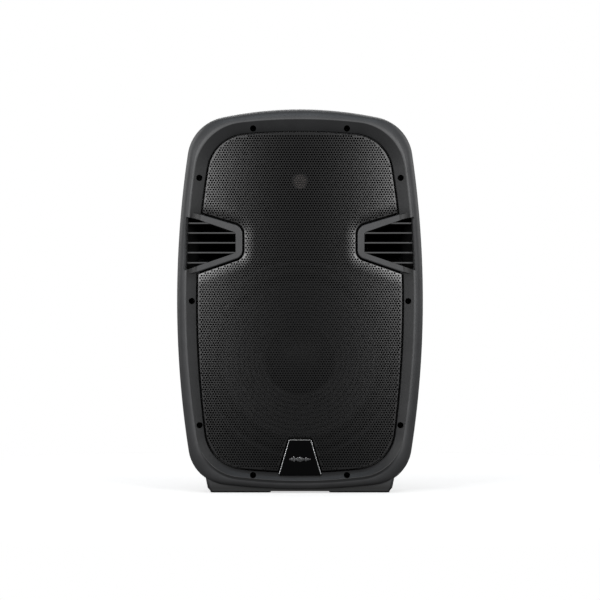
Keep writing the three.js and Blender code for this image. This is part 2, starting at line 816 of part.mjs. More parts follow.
// Each side of the horn widens exponentially from the round throat to the oblong mouth.
function hornSection(depth, growth) {
  const share = 1 - (depth - 37.7) / (146 - 37.7);
  const halfWidth = THROAT_RADIUS * (113 / THROAT_RADIUS) ** share + growth;
  const halfHeight = THROAT_RADIUS * (59 / THROAT_RADIUS) ** share + growth;
  const power = 2 / (2 + 7 * Math.max(share, 0) ** 1.5);
  const points = [];
  for (let i = 0; i < 20; i += 1) {
    const angle = ((i + 0.5) / 20) * 2 * Math.PI;
    const [c, s] = [Math.cos(angle), Math.sin(angle)];
    const x = halfWidth * Math.sign(c) * Math.abs(c) ** power;
    const z = halfHeight * Math.sign(s) * Math.abs(s) ** power;
    points.push(vector(x, HORN_Z + z));
  }
  return { y: at(depth), points };
}

function horn() {
  const depths = [37.7, 48, 66, 95, 146];
  const outside = loft(depths.map((depth) => hornSection(depth, 3)));
  const inside = loft([37, ...depths.slice(1, -1), 147].map((depth) => hornSection(depth, 0)));
  const rim = prism(filleted(rectangle(0, HORN_Z, 128, 70, 12)), 37.7, BAFFLE_DEPTH - FIT);
  const driverFlange = rod(0, HORN_Z, 38, 140, 146, 16);
  return union([outside, rim, driverFlange]).subtract(inside);
}

function tweeterPolePiece() {
  return turned(
    [
      [12, 146.3],
      [43, 146.3],
      [43, 152.3],
      [17.2, 152.3],
      [17.2, 174],
      [12, 174],
    ],
    16,
  );
}

function tweeterMagnet() {
  return union([turned(ring(21, 45, 152.6, 168.9), 16), turned(ring(19.2, 40, 168.9, 175.9), 16)]);
}

function tweeterDiaphragm() {
  return turned(
    [
      [17.4, 178],
      [11.6, 180.8],
      [5.8, 182.4],
      [0, 183],
      [0, 182.5],
      [8, 181.2],
      [17.4, 177.4],
      [17.6, 171],
      [18.1, 171],
      [18.1, 177.6],
      [27, 177.6],
      [27, 178.4],
    ],
    16,
  );
}

function tweeterRearCover() {
  return turned(
    [
      [0, 200],
      [38, 200],
      [43, 195],
      [43, 176.2],
      [40, 176.2],
      [40, 193],
      [36, 197],
      [0, 197],
    ],
    16,
  );
}

// ---------------------------------------------------------------- amplifier module

const socketFlange = (x) => rectangle(x, SOCKET_Z + 0.5, 13, 16.5, 3);
const latchSlot = (x) => rectangle(x, SOCKET_Z + 13.7, 4.4, 1.5);

function ampPanel() {
  const plate = prism(
    filleted(rectangle(0, PANEL_Z, PANEL_HALF_WIDTH, PANEL_HALF_HEIGHT, 6)),
    PANEL_SEAT_DEPTH + FIT,
    PANEL_FACE_DEPTH,
  );
  const through = (points) => prism(points, PANEL_SEAT_DEPTH - CUT, PANEL_FACE_DEPTH + CUT);
  const drill = (x, z, radius, segments) =>
    rod(x, z, radius, PANEL_SEAT_DEPTH - CUT, PANEL_FACE_DEPTH + CUT, segments);
  return cut(plate, [
    ...KNOB_PLACES.map((x) => drill(x, KNOB_Z, 3.8, 8)),
    ...Object.values(SOCKET_PLACES).map((x) => drill(x, SOCKET_Z, 12.2, 16)),
    ...[SOCKET_PLACES.input_1, SOCKET_PLACES.input_2].map((x) =>
      through(filleted(grown(latchSlot(x), 0.4))),
    ),
    through(filleted(rectangle(1.75, SWITCH_Z, 4.2, 2.1))),
    through(filleted(grown(inletBarrel, FIT))),
    through(filleted(grown(switchBarrel, FIT))),
  ]);
}

function heatsink() {
  const points = [vector(-80, PANEL_FACE_DEPTH + FIT)];
  const fins = 16;
  const pitch = 160 / (fins - 0.5);
  points.push(vector(80, PANEL_FACE_DEPTH + FIT));
  for (let i = 0; i < fins; i += 1) {
    const right = 80 - i * pitch;
    points.push(vector(right, 369), vector(right - pitch / 2, 369));
    if (i + 1 < fins) {
      points.push(vector(right - pitch / 2, 361), vector(right - pitch, 361));
    }
  }
  return column(points, 350, 450);
}

function circuitBoard() {
  const board = prism(filleted(rectangle(0, 363, 85, 77)), 336, 337.6);
  const pots = KNOB_PLACES.flatMap((x) => [
    prism(filleted(rectangle(x, KNOB_Z, 8, 8)), 337, 349),
    rod(x, KNOB_Z, 3, 348, 363, 8),
  ]);
  const standoffs = [-79, 79].flatMap((x) =>
    [296, 434].map((z) => rod(x, z, 4, 337, PANEL_SEAT_DEPTH, 8)),
  );
  const capacitors = [-40, 0, 40].map((x) => rod(x, 405, 14, 302, 337, 12));
  return union([board, ...pots, ...standoffs, ...capacitors]);
}

function transformer() {
  const { PI, cos, sin } = Math;
  const section = Array.from({ length: 8 }, (_, i) => {
    const angle = (2 * PI * i) / 8;
    return [36 + 15 * cos(angle), 296 + 19 * sin(angle)];
  });
  const winding = turned(section, 14).translate([TRANSFORMER_X, 0, TRANSFORMER_Z]);
  const potting = rod(TRANSFORMER_X, TRANSFORMER_Z, 30, 284, 308);
  const bolt = rod(TRANSFORMER_X, TRANSFORMER_Z, 4, 282, PANEL_SEAT_DEPTH, 12);
  return union([winding, potting, bolt]);
}

function inputSocket(x) {
  const face = PANEL_FACE_DEPTH + FIT;
  const flange = prism(filleted(socketFlange(x)), face, face + 1.6);
  const barrel = rod(x, SOCKET_Z, 11.7, 330, face + 1);
  return cut(flange.add(barrel), [
    rod(x, SOCKET_Z, 9.6, 340, face + CUT),
    prism(filleted(latchSlot(x)), face - 1, face + CUT),
  ]);
}

function outputSocket(x) {
  const face = PANEL_FACE_DEPTH + FIT;
  const flange = prism(filleted(socketFlange(x)), face, face + 1.6);
  const barrel = rod(x, SOCKET_Z, 11.7, 330, face + 1);
  const pins = [90, 215, 325].map((degrees) => {
    const angle = THREE.MathUtils.degToRad(degrees);
    return rod(x + 4.4 * Math.cos(angle), SOCKET_Z + 4.4 * Math.sin(angle), 1.2, 339, 353, 8);
  });
  return union([
    flange.add(barrel).subtract(rod(x, SOCKET_Z, 9.6, 340, face + CUT)),
    ...pins,
  ]);
}

function latchTab(x) {
  return prism(filleted(rectangle(x, SOCKET_Z + 13.7, 4, 1.1)), 350, 361);
}

const inletBarrel = rectangle(INLET_X, MAINS_Z, 15, 22);
const inletRecess = [
  [INLET_X + 12, MAINS_Z - 15, 1],
  [INLET_X + 12, MAINS_Z + 0, 1],
  [INLET_X + 8, MAINS_Z + 4.5, 1],
  [INLET_X - 8, MAINS_Z + 4.5, 1],
  [INLET_X - 12, MAINS_Z + 0, 1],
  [INLET_X - 12, MAINS_Z - 15, 1],
];
const fuseSlot = rectangle(INLET_X, MAINS_Z + 14, 11.5, 4.5);

function mainsInlet() {
  const face = PANEL_FACE_DEPTH + FIT;
  const body = union([
    prism(filleted(rectangle(INLET_X, MAINS_Z, 18, 25, 3)), face, face + 2),
    prism(filleted(inletBarrel), 328, face + 1),
  ]);
  const pins = [-6, 0, 6].map((x, i) => {
    const z = MAINS_Z - (i === 1 ? 3 : 8);
    return prism(filleted(rectangle(INLET_X + x, z, 1, 2)), 341, 354);
  });
  const open = cut(body, [
    prism(filleted(inletRecess), 342, face + CUT + 1),
    prism(filleted(fuseSlot), 332, face + CUT + 1),
  ]);
  return union([open, ...pins]);
}

function fuseDrawer() {
  const tray = prism(filleted(grown(fuseSlot, -0.4)), 333, PANEL_FACE_DEPTH + 3.5);
  const fuseBay = crossbar(
    filleted(rectangle(342, MAINS_Z + 16, 6, 4.6)),
    INLET_X - 8,
    INLET_X + 8,
  );
  return tray.subtract(fuseBay);
}

const switchBarrel = rectangle(ROCKER_X, MAINS_Z, 10.6, 13.6);
const ROCKER_PIVOT_DEPTH = 353;
const ROCKER_TILT = THREE.MathUtils.degToRad(11);

function powerSwitchFrame() {
  const face = PANEL_FACE_DEPTH + FIT;
  const body = union([
    prism(filleted(rectangle(ROCKER_X, MAINS_Z, 13, 16, 2)), face, face + 1.8),
    prism(filleted(switchBarrel), 336, face + 1),
  ]);
  return body.subtract(
    prism(filleted(rectangle(ROCKER_X, MAINS_Z, 9.4, 12.4)), 341, face + CUT + 1),
  );
}

// Shallow vee in section, so that one end is proud of the frame at a time.
function powerRocker() {
  const profile = [
    [-11.4, -5],
    [11.4, -5],
    [11.4, 3.2],
    [6, 4.6],
    [0, 3.4],
    [-6, 4.6],
    [-11.4, 3.2],
  ].map(([z, rise]) =>
    vector(
      ROCKER_PIVOT_DEPTH + rise * Math.cos(ROCKER_TILT) - z * Math.sin(ROCKER_TILT),
      MAINS_Z + z * Math.cos(ROCKER_TILT) + rise * Math.sin(ROCKER_TILT),
    ),
  );
  return crossbar(profile.reverse(), ROCKER_X - 8.9, ROCKER_X + 8.9);
}

function knob() {
  return turned(
    [
      [0, PANEL_FACE_DEPTH + 12.2],
      [6.6, PANEL_FACE_DEPTH + 12.2],
      [7.2, PANEL_FACE_DEPTH + 11.4],
      [8.2, PANEL_FACE_DEPTH + 0.8],
      [3.4, PANEL_FACE_DEPTH + 0.8],
      [3.4, PANEL_FACE_DEPTH + 8.4],
      [0, PANEL_FACE_DEPTH + 8.4],
    ],
    12,
  );
}

function modeSlider() {
  return prism(filleted(rectangle(0, SWITCH_Z, 2, 1.7)), 350, PANEL_FACE_DEPTH + 3);
}

// ---------------------------------------------------------------- assembly

function assembleShells() {
  const moulding = frontMoulding();
  piece('front_shell', frontShell(moulding), 'cabinet');
  piece('rear_shell', rearShell(), 'cabinet');
  piece('grille', grille(), 'grille');
  piece('badge_plate', badge(), 'badge');
  for (const [name, side] of [['left', -1], ['right', 1]]) {
    piece(`port_frame_${name}`, portFrame(moulding, side), 'cabinet');
    piece(`port_louvre_${name}`, portLouvre(side), 'louvre');
    piece(`port_duct_${name}`, portDuct(side), 'louvre');
    piece(`side_handle_${name}`, sideHandle(side), 'cabinet');
    piece(`foot_front_${name}`, footPad(side * 52, side * 159, 30, 80), 'rubber');
    piece(`foot_rear_${name}`, footPad(side * 40, side * 112, 268, 318), 'rubber');
  }
  piece('top_handle', topHandle(), 'cabinet');
  piece('pole_socket', poleSocket(), 'louvre');
  screwPlaces.forEach(([x, z], i) => {
    const name = `shell_screw_${String(i + 1).padStart(2, '0')}`;
    piece(name, shellScrew(), 'screw').position.set(x, 0, z);
  });
}

function assembleWoofer() {
  const woofer = new THREE.Group();
  woofer.position.z = WOOFER_Z;
  cabinet.add(woofer);
  const dustCap = turned(domed(64, coneDepthAt(64) - 0.8, 24, 1.2, 3), 20);
  piece('woofer_basket', wooferBasket(), 'basket', woofer);
  piece('woofer_surround', wooferSurround(), 'rubber', woofer);
  piece('woofer_cone', wooferCone(), 'paper', woofer);
  piece('woofer_dust_cap', dustCap, 'paper', woofer);
  piece('woofer_spider', wooferSpider(), 'spider', woofer);
  piece('woofer_voice_coil', turned(ring(31.7, COIL_RADIUS, 105, 165)), 'copper', woofer);
  piece('woofer_magnet', wooferMagnet(), 'ferrite', woofer);
  piece('woofer_pole_plate', wooferPolePlate(), 'steel', woofer);
}

function assembleHorn() {
  const driver = new THREE.Group();
  driver.position.z = HORN_Z;
  cabinet.add(driver);
  piece('horn', horn(), 'horn');
  piece('tweeter_pole_piece', tweeterPolePiece(), 'steel', driver);
  piece('tweeter_magnet', tweeterMagnet(), 'ferrite', driver);
  piece('tweeter_diaphragm', tweeterDiaphragm(), 'titanium', driver);
  piece('tweeter_rear_cover', tweeterRearCover(), 'socket', driver);
}

function assembleAmplifier() {
  piece('amp_panel', ampPanel(), 'panel');
  piece('heatsink', heatsink(), 'heatsink');
  piece('amp_circuit_board', circuitBoard(), 'board');
  piece('mains_transformer', transformer(), 'copper');
  piece('input_socket_1', inputSocket(SOCKET_PLACES.input_1), 'socket');
  piece('input_socket_2', inputSocket(SOCKET_PLACES.input_2), 'socket');
  piece('output_socket', outputSocket(SOCKET_PLACES.output), 'socket');
  piece('latch_tab_1', latchTab(SOCKET_PLACES.input_1), 'steel');
  piece('latch_tab_2', latchTab(SOCKET_PLACES.input_2), 'steel');
  piece('mode_slider', modeSlider(), 'socket');
  piece('mains_inlet', mainsInlet(), 'socket');
  piece('fuse_drawer', fuseDrawer(), 'socket');
  piece('power_switch_frame', powerSwitchFrame(), 'socket');
  piece('power_rocker', powerRocker(), 'rocker');
  const knobNames = ['master', 'bass', 'treble', 'line', 'mic'];
  KNOB_PLACES.forEach((x, i) => {
    piece(`${knobNames[i]}_knob`, knob(), 'knob').position.set(x, 0, KNOB_Z);
  });
}

assembleShells();
assembleWoofer();
assembleHorn();
assembleAmplifier();

export default cabinet;
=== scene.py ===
"""Powered two-way loudspeaker cabinet: its looks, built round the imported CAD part.

Shapes are worked out in millimetres as (vertices, faces) pairs, with depths measured back
from the front ridge as in the CAD source, and turned into metres when an object is made.
"""

import math

import bmesh
import bpy
import numpy as np
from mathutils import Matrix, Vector
from mathutils.geometry import delaunay_2d_cdt
from mathutils.kdtree import KDTree


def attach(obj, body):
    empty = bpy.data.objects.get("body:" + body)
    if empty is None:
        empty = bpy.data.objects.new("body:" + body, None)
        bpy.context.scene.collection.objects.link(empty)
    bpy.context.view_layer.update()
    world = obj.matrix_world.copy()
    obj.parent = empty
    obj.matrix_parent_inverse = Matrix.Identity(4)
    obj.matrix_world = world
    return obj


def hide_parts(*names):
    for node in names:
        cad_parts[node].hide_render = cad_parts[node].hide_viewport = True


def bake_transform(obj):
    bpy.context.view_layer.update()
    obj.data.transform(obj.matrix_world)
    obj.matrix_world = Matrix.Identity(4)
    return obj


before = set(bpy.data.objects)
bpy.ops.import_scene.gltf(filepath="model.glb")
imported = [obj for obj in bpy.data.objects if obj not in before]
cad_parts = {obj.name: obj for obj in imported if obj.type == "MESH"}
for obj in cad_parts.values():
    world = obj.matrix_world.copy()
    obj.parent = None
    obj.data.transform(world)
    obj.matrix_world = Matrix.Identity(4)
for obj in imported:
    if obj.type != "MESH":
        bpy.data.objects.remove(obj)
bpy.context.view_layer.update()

# ---- driving dimensions (mm)

HALF_DEPTH = 185.0
CENTRE_Z = 339.4
# Outlines seen from the front, each listed as its half width, then the reach, side radius, end
# radius and corner radius of its top, and the same four of its bottom.
SILHOUETTE = np.array([218.3, 340.6, 1800, 666, 77.6, 333.6, 1730, 1175, 71])
RIDGE = np.array([202, 322.2, 1775, 930, 92.6, 321.5, 1542, 893, 83.3])
OPENING = np.array([184, 301, 1435, 1147, 72.6, 303.5, 1860, 1010, 73.6])
REAR = np.array([135, 292, 1500, 600, 60, 318, 1500, 900, 60])
# Depths behind the front ridge.
WIDEST = 35.0
SEAM = 95.0
REAR_CORNER = 355.0
BAR_DEPTH = 7
BAND_REACH = 30
BAFFLE_FRONT = 42
BAFFLE_BACK = 50
SCREW_DEPTH = 66.0
BASE_FRONT = 25
PANEL_FACE = 356.3
# The recessed band round the grille: how far it falls, over what width, and how round its ridge is.
BAND_DEPTH = 14.0
BAND_WIDTH = 18.0
RIDGE_ROLL = 2.6
# Base block: the height below which its colour is darkened with painted shade, then its heights and outward
# flares.
BASE_TOP = 25.5
PLINTH_LEVELS = [(2.6, -1.6), (3.0, -0.5), (4.2, 0), (8.6, 3.8), (26, 7.5)]
# distance from the middle and height of each pair of screws
SHELL_SCREWS = [(83, 644.8), (178, 557.5), (191.4, 339.6), (177.7, 120.1), (83, 31.8)]
WOOFER_Z = 237.0
HORN_Z = 556.0
SLATS = (407.2, 425.1, 442.5, 459.9, 477.2)
SLAT_HALF = 1.35
SIDE_GRIP_Z = 352
TOP_GRIP_DEPTH = 186
POLE_DEPTH = 165

# Woofer: its opening in the baffle, then the cone from its edge to the coil.
RIM_RADIUS = 176
CONE_EDGE = 146
CONE_EDGE_DEPTH = 54.4
CONE_FALL = 51.6
COIL = 33.2
# Horn: depths of its two ends, radius of its throat and half sizes of its mouth.
HORN_FRONT = 37.7
HORN_BACK = 146
THROAT = 12.7
HORN_MOUTH = (113, 59)

# Amplifier panel: places are x, or x and z.
PANEL_Z = 300
KNOBS = {"master": -70, "bass": -35, "treble": 0, "line": 35, "mic": 70}
TONE_KNOBS = ("bass", "treble")
KNOB_Z = 320.0
SOCKET_Z = 265.0
LATCH_Z = SOCKET_Z + 13.7
INPUTS = {1: -62, 2: 0}
OUTPUT_X = 62
SLIDER_Z = 228
INLET = (38.0, 180.0)
ROCKER = (-50.0, 180.0)
ROCKER_HALF = 11.4
ROCKER_TILT = math.radians(11)
# ends of the printed lines round the knobs and sockets
FRAME_LINES = [(-88, 343, 88, 343), (88, 343, 88, 236), (88, 236, -88, 236), (-88, 236, -88, 343),
               (31, 236, 31, 298), (31, 298, 88, 298)]
FLUTES = 24
# radius, height above the panel and depth of the flutes, from the shaft round to the cap
KNOB_LEVELS = [(3.4, 8.4, 0), (3.4, 0.8, 0), (8.2, 0.8, 0), (8.2, 2.4, 0), (7.9, 2.7, 0.1), (7.75, 3.2, 0.5),
               (7.2, 11.0, 0.45), (6.9, 11.7, 0.3), (6.4, 12.1, 0.05), (5.4, 12.2, 0), (5.0, 12.0, 0),
               (2, 11.9, 0)]

PORT_FRAME = [(204, 382.4, 0), (204, 501.9, 0), (101.4, 471.2, 18), (101.4, 417.7, 16)]
PORT_MOUTH = [(205.7, 393.5, 2), (202.3, 488.1, 2), (181, 483.8, 8), (114, 460.8, 4), (114, 424.9, 4)]
# depth, lean of the outer wall and flare of the rim of a port mouth
MOUTH_LEVELS = [(-3, 1.7, 0.7), (0.8, 0.9, 0.7), (5.4, -3.9, 0.7), (6.6, -4.5, 0.6), (7.3, -4.6, 0.15)]
MOUTH_LEVELS += [(7.8, -4.7, 0), (12, -4.9, 0), (24, -5.0, 0), (53, -5.1, 0)]
# growth, depth and how far the corners of the mouth are pulled in, by the shares of DUCT_PULL
DUCT_LEVELS = [(0, 49, 0), (0, 100, 8), (0, 150, 16), (3, 150, 16), (3, 100, 8), (3, 50.3, 0)]
DUCT_PULL = [(1, 0.345), (1, -0.343), (0.4, -0.3), (0, 0), (0, 0)]
BADGE = [(38.2, 31.7, 1.5), (19.4, 95.3, 1.5), (-19.4, 95.3, 1.5), (-38.2, 31.7, 1.5)]

# ---- plane outlines


def unit(v):
    """The vector at length one."""
    return v / np.linalg.norm(v)


def arc(centre, radius, start, stop, steps):
    angles = np.linspace(start, stop, steps + 1)
    return np.column_stack([centre[0] + radius * np.cos(angles), centre[1] + radius * np.sin(angles)])


def quarter(half_width, reach, side, end, corner, steps):
    """A quarter of an outline: a side arc, a corner arc and an end arc that meet smoothly."""
    side_centre = np.array([half_width - side, 0.0])
    end_centre = np.array([0.0, reach - end])
    gap = np.linalg.norm(end_centre - side_centre)
    to_side, to_end = side - corner, end - corner
    along = (to_side**2 - to_end**2 + gap**2) / (2 * gap)
    aside = math.sqrt(to_side**2 - along**2)
    direction = (end_centre - side_centre) / gap
    centre = side_centre + along * direction + aside * np.array([-direction[1], direction[0]])
    side_stop = math.atan2(*(centre - side_centre)[::-1])
    corner_stop = math.atan2(*(centre - end_centre)[::-1])
    return np.concatenate(
        [
            arc(side_centre, side, 0, side_stop, steps[0]),
            arc(centre, corner, side_stop, corner_stop, steps[1])[1:],
            arc(end_centre, end, corner_stop, math.pi / 2, steps[2])[1:],
        ]
    )


def outline_points(outline, steps=(14, 16, 14)):
    """Points of a driving outline, anticlockwise from its right-hand end at mid height."""
    top = quarter(outline[0], *outline[1:5], steps)
    bottom = quarter(outline[0], *outline[5:9], steps)
    parts = [top, (top * (-1, 1))[::-1], bottom * (-1, -1), (bottom * (1, -1))[::-1]]
    return np.concatenate([part[:-1] for part in parts]) + (0, CENTRE_Z)


def between(a, b, share):
    return a + (b - a) * share


def reach_at(outline, places, axis):
    """How far an outline reaches along an axis (0 for x, 1 for z) at places on the other."""
    points = outline_points(outline)
    far = points[points[:, axis] > (0, CENTRE_Z)[axis]]
    far = far[np.argsort(far[:, 1 - axis])]
    return np.interp(places, far[:, 1 - axis], far[:, axis])


def side_at(outline, z):
    """Half width of an outline at heights z."""
    return reach_at(outline, z, 0)


def grown(corners, distance):
    """Outward offset of a convex polygon of (x, y, corner radius), listed anticlockwise."""
    made = []
    for i, (x, y, radius) in enumerate(corners):
        here = np.array([x, y], float)
        before = unit(here - np.array(corners[i - 1][:2], float))
        after = unit(np.array(corners[(i + 1) % len(corners)][:2], float) - here)
        reach = distance / (before[0] * after[1] - before[1] * after[0])
        moved = here + (before - after) * reach
        made.append((moved[0], moved[1], max(radius + distance, 0.05)))
    return made


def filleted(corners, steps=6):
    points = []
    for i, (x, y, radius) in enumerate(corners):
        radius = max(radius, 0.05)
        here = np.array([x, y], float)
        back = unit(np.array(corners[i - 1][:2], float) - here)
        ahead = unit(np.array(corners[(i + 1) % len(corners)][:2], float) - here)
        half = math.acos(np.clip(back @ ahead, -1, 1)) / 2
        centre = here + unit(back + ahead) * radius / math.sin(half)
        first = here + back * radius / math.tan(half) - centre
        start = math.atan2(first[1], first[0])
        turn = math.copysign(math.pi - 2 * half, ahead[0] * back[1] - ahead[1] * back[0])
        points.append(arc(centre, radius, start, start + turn, steps))
    return np.concatenate(points)


def rectangle(x, y, half_width, half_height, radius=0.0):
    return [
        (x + half_width, y - half_height, radius),
        (x + half_width, y + half_height, radius),
        (x - half_width, y + half_height, radius),
        (x - half_width, y - half_height, radius),
    ]


def on_side(side, corners):
    """The corners as they are for side 1, mirrored for side -1."""
    return corners if side > 0 else [(-x, y, r) for x, y, r in corners][::-1]


def frame_corners(side, growth):
    """Corners of the port frame on a side, grown by a distance."""
    return on_side(side, grown(PORT_FRAME, growth))


# ---- shapes


def ring(points, level, axis="y"):
    """A plane outline set in space: at a depth (y), at a height (z) or across at an x."""
    level = np.broadcast_to(np.asarray(level, float), len(points))
    if axis == "y":
        return np.column_stack([points[:, 0], level - HALF_DEPTH, points[:, 1]])
    if axis == "z":
        return np.column_stack([points[:, 0], points[:, 1] - HALF_DEPTH, level])
    return np.column_stack([level, points[:, 0] - HALF_DEPTH, points[:, 1]])


def loft(rings, closed=False, caps=True):
    count, total = len(rings[0]), len(rings)
    faces = []
    for r in range(total if closed else total - 1):
        a, b = r * count, ((r + 1) % total) * count
        faces += [(a + i, b + i, b + (i + 1) % count, a + (i + 1) % count) for i in range(count)]
    if caps and not closed:
        faces.append(tuple(range(count)))
        faces.append(tuple((total - 1) * count + i for i in reversed(range(count))))
    return np.concatenate(rings), faces


def slab(corners, front, back, edge=0.5, rear_edge=None, axis="y", steps=6):
    """A plate with a rounded outline and rolled edges, between two levels along an axis."""
    rings = []
    for level, roll, sign in ((front, edge, 1), (back, edge if rear_edge is None else rear_edge, -1)):
        turns = np.linspace(0, math.pi / 2, 4) if roll else [math.pi / 2]
        for turn in turns[::sign]:
            outline = filleted(grown(corners, roll * (math.sin(turn) - 1)), steps)
            rings.append(ring(outline, level + sign * roll * (1 - math.cos(turn)), axis))
    return loft(rings)


def block(corners, front, back, **edges):
    """A slab over a rectangle, with square edges unless they are given."""
    return slab(rectangle(*corners), front, back, **{"edge": 0, **edges})


def lathe(profile, x=0.0, z=0.0, steps=64, closed=True, axis="y", depth=0.0):
    """Turned body from (radius, level) points: about a line along Y, or along Z at (x, depth)."""
    turn = np.linspace(0, 2 * math.pi, steps, endpoint=False)
    circle = np.column_stack([np.cos(turn), np.sin(turn)])
    centre = (x, z) if axis == "y" else (x, depth)
    rings = [ring(circle * max(r, 1e-4) + centre, level, axis) for r, level in profile]
    return loft(rings, closed=closed, caps=False)


def disc(x, z, radius, front, back, steps=32, edge=0.0):
    """A short rod along Y with its front and rear edges broken by `edge`."""
    profile = [(0, front), (radius - edge, front), (radius, front + edge)]
    profile += [(radius, back - edge), (radius - edge, back), (0, back)]
    return lathe(profile, x, z, steps, closed=False)


def rod(start, stop, radius, steps=16):
    """A straight round bar between two points (x, depth, z)."""
    a, b = np.array(start, float), np.array(stop, float)
    along = unit(b - a)
    side = unit(np.cross(along, (0.31, 0.87, 0.39)))
    up = np.cross(along, side)
    turn = np.linspace(0, 2 * math.pi, steps, endpoint=False)[:, None]
    around = radius * (np.cos(turn) * side + np.sin(turn) * up)
    return loft([around + a - (0, HALF_DEPTH, 0), around + b - (0, HALF_DEPTH, 0)])


def together(shapes):
    vertices, faces, start = [], [], 0
    for points, polygons in shapes:
        vertices.append(points)
        faces += [tuple(start + i for i in polygon) for polygon in polygons]
        start += len(points)
    return np.concatenate(vertices), faces


def mesh_of(name, shape, scale=1.0):
    mesh = bpy.data.meshes.new(name)
    mesh.from_pydata((np.asarray(shape[0]) * scale).tolist(), [], shape[1])
    work = bmesh.new()
    work.from_mesh(mesh)
    bmesh.ops.remove_doubles(work, verts=work.verts, dist=0.002 * scale)
    bmesh.ops.dissolve_degenerate(work, edges=work.edges, dist=0.001 * scale)
    bmesh.ops.recalc_face_normals(work, faces=work.faces)
    work.to_mesh(mesh)
    work.free()
    return mesh


def link_to_scene(name, data):
    """A new object with this data, in the scene."""
    made = bpy.data.objects.new(name, data)
    bpy.context.scene.collection.objects.link(made)
    return made


def shape_of(mesh):
    """A mesh as a (vertices, faces) pair."""
    points = np.empty(len(mesh.vertices) * 3)
    mesh.vertices.foreach_get("co", points)
    return points.reshape(-1, 3), [tuple(p.vertices) for p in mesh.polygons]


def combined(base, tools, operation="DIFFERENCE"):
    """The base with each tool cut away from it, or joined to it."""
    body = link_to_scene("work", mesh_of("work", base))
    helpers = [link_to_scene("tool", mesh_of("tool", tool)) for tool in tools]
    for helper in helpers:
        modifier = body.modifiers.new("join", "BOOLEAN")
        modifier.solver = "MANIFOLD"
        modifier.operation = operation
        modifier.object = helper
    graph = bpy.context.evaluated_depsgraph_get()
    result = shape_of(bpy.data.meshes.new_from_object(body.evaluated_get(graph)))
    for thing in [body, *helpers]:
        bpy.data.objects.remove(thing)
    return result


def add(name, shape, material, body="cabinet", stands_for=(), sharp=32,
        weighted=False):
    """Makes a visible piece, tells the frame what it rides on and which CAD solids it replaces."""
    mesh = mesh_of(name, shape, scale=0.001)
    mesh.shade_smooth()
    mesh.set_sharp_from_angle(angle=math.radians(sharp))
    made = link_to_scene(name, mesh)
    mesh.materials.append(material)
    # moulding pieces carry a painted shade factor per point, which darkens their colour in the recessed band,
    # on the port bar ramps and on the base
    if material.get("with_painted_shade"):
        values = mesh.attributes.new("painted_shade", "FLOAT", "POINT")
        values.data.foreach_set("value", tones(shape_of(mesh)[0] * 1000))
    if weighted:
        modifier = made.modifiers.new("normals", "WEIGHTED_NORMAL")
        modifier.keep_sharp = True
    if body:
        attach(made, body)
    if stands_for:
        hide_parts(*stands_for)
    return made


# ---- materials

# Painted shade on the moulding: colour factors for the recessed band, the port bar ramps and the base, and
# the scale of the broad variation in a mottled colour.
BAND_PAINTED_SHADE = 0.48
RAMP_PAINTED_SHADE = 0.2
BASE_PAINTED_SHADE = 0.18
BROAD_SCALE = 22


def tones(points):
    """Painted shade on the moulding at some points: colour factors that darken the recessed band
    round the grille, the ramps of the port bars, and the base, where shade falls."""
    depth, flat = points[:, 1] + HALF_DEPTH, points[:, [0, 2]]
    recessed = (depth < BAND_REACH) & inside_of(flat, outline_points(RIDGE - 0.5))
    recessed &= ~inside_of(flat, outline_points(OPENING - 0.5))
    values = np.where(recessed, BAND_PAINTED_SHADE, 1.0)
    # painted shade on the ramps where the port bars slope up to the ridge
    for side in (1, -1):
        ramp = recessed & inside_of(flat, filleted(frame_corners(side, 0.5), 10))
        values[ramp] = RAMP_PAINTED_SHADE
    # painted shade on the base, below its top and behind its front
    return np.where((points[:, 2] < BASE_TOP) & (depth > BASE_FRONT - 0.1), BASE_PAINTED_SHADE, values)



def node(tree, kind, inputs=(), **settings):
    """A shader node; each of its inputs is a value or the output that feeds it."""
    made = tree.nodes.new("ShaderNode" + kind)
    for setting, value in settings.items():
        setattr(made, setting, value)
    for entry, value in dict(inputs).items():
        if isinstance(value, bpy.types.NodeSocket):
            tree.links.new(value, made.inputs[entry])
        else:
            made.inputs[entry].default_value = value
    return made


def material(name, colour, rough, metal=0.0, mottle=0.0, grain=0.0, size=0.9, shine=0.5, with_painted_shade=False):
    """Principled finish; mottle varies its colour, grain is a moulded or cast texture in mm, and the flag for
    painted shade darkens its colour by a factor stored on the mesh.
    """
    made = bpy.data.materials.new(name)
    made.use_nodes = True
    tree = made.node_tree
    shader = tree.nodes["Principled BSDF"]
    finish = {"Base Color": (*colour, 1), "Roughness": rough, "Metallic": metal, "Specular IOR Level": shine}
    for entry, value in finish.items():
        shader.inputs[entry].default_value = value
    if not (mottle or grain):
        return made
    place = node(tree, "TexCoord").outputs["Object"]
    fine = node(tree, "TexNoise", {"Vector": place, "Scale": 1000 / size, "Detail": 3}).outputs["Fac"]
    if mottle:
        broad = node(tree, "TexNoise", {"Vector": place, "Scale": BROAD_SCALE, "Detail": 4}).outputs["Fac"]
        weak = node(tree, "Math", {0: broad, 1: 0.4}, operation="MULTIPLY")
        both = node(tree, "Math", {0: fine, 1: 0.6, 2: weak.outputs[0]}, operation="MULTIPLY_ADD")
        ramp = node(tree, "ValToRGB", {0: both.outputs[0]})
        for stop, place_on_ramp, change in zip(ramp.color_ramp.elements, (0.38, 0.62), (-mottle, mottle)):
            stop.position = place_on_ramp
            stop.color = (*[c * (1 + change) for c in colour], 1)
        varied = ramp.outputs[0]
        # the colour is scaled by the painted shade factor stored on the mesh
        if with_painted_shade:
            made["with_painted_shade"] = True
            painted_shade = node(tree, "Attribute", attribute_name="painted_shade")
            factor = painted_shade.outputs["Fac"]
            scaled = node(tree, "VectorMath", {0: varied, "Scale": factor}, operation="SCALE")
            varied = scaled.outputs[0]
        tree.links.new(varied, shader.inputs["Base Color"])
    if grain:
        bump = node(tree, "Bump", {"Strength": 1.0, "Distance": grain * 0.001, "Height": fine})
        tree.links.new(bump.outputs[0], shader.inputs["Normal"])
    return made
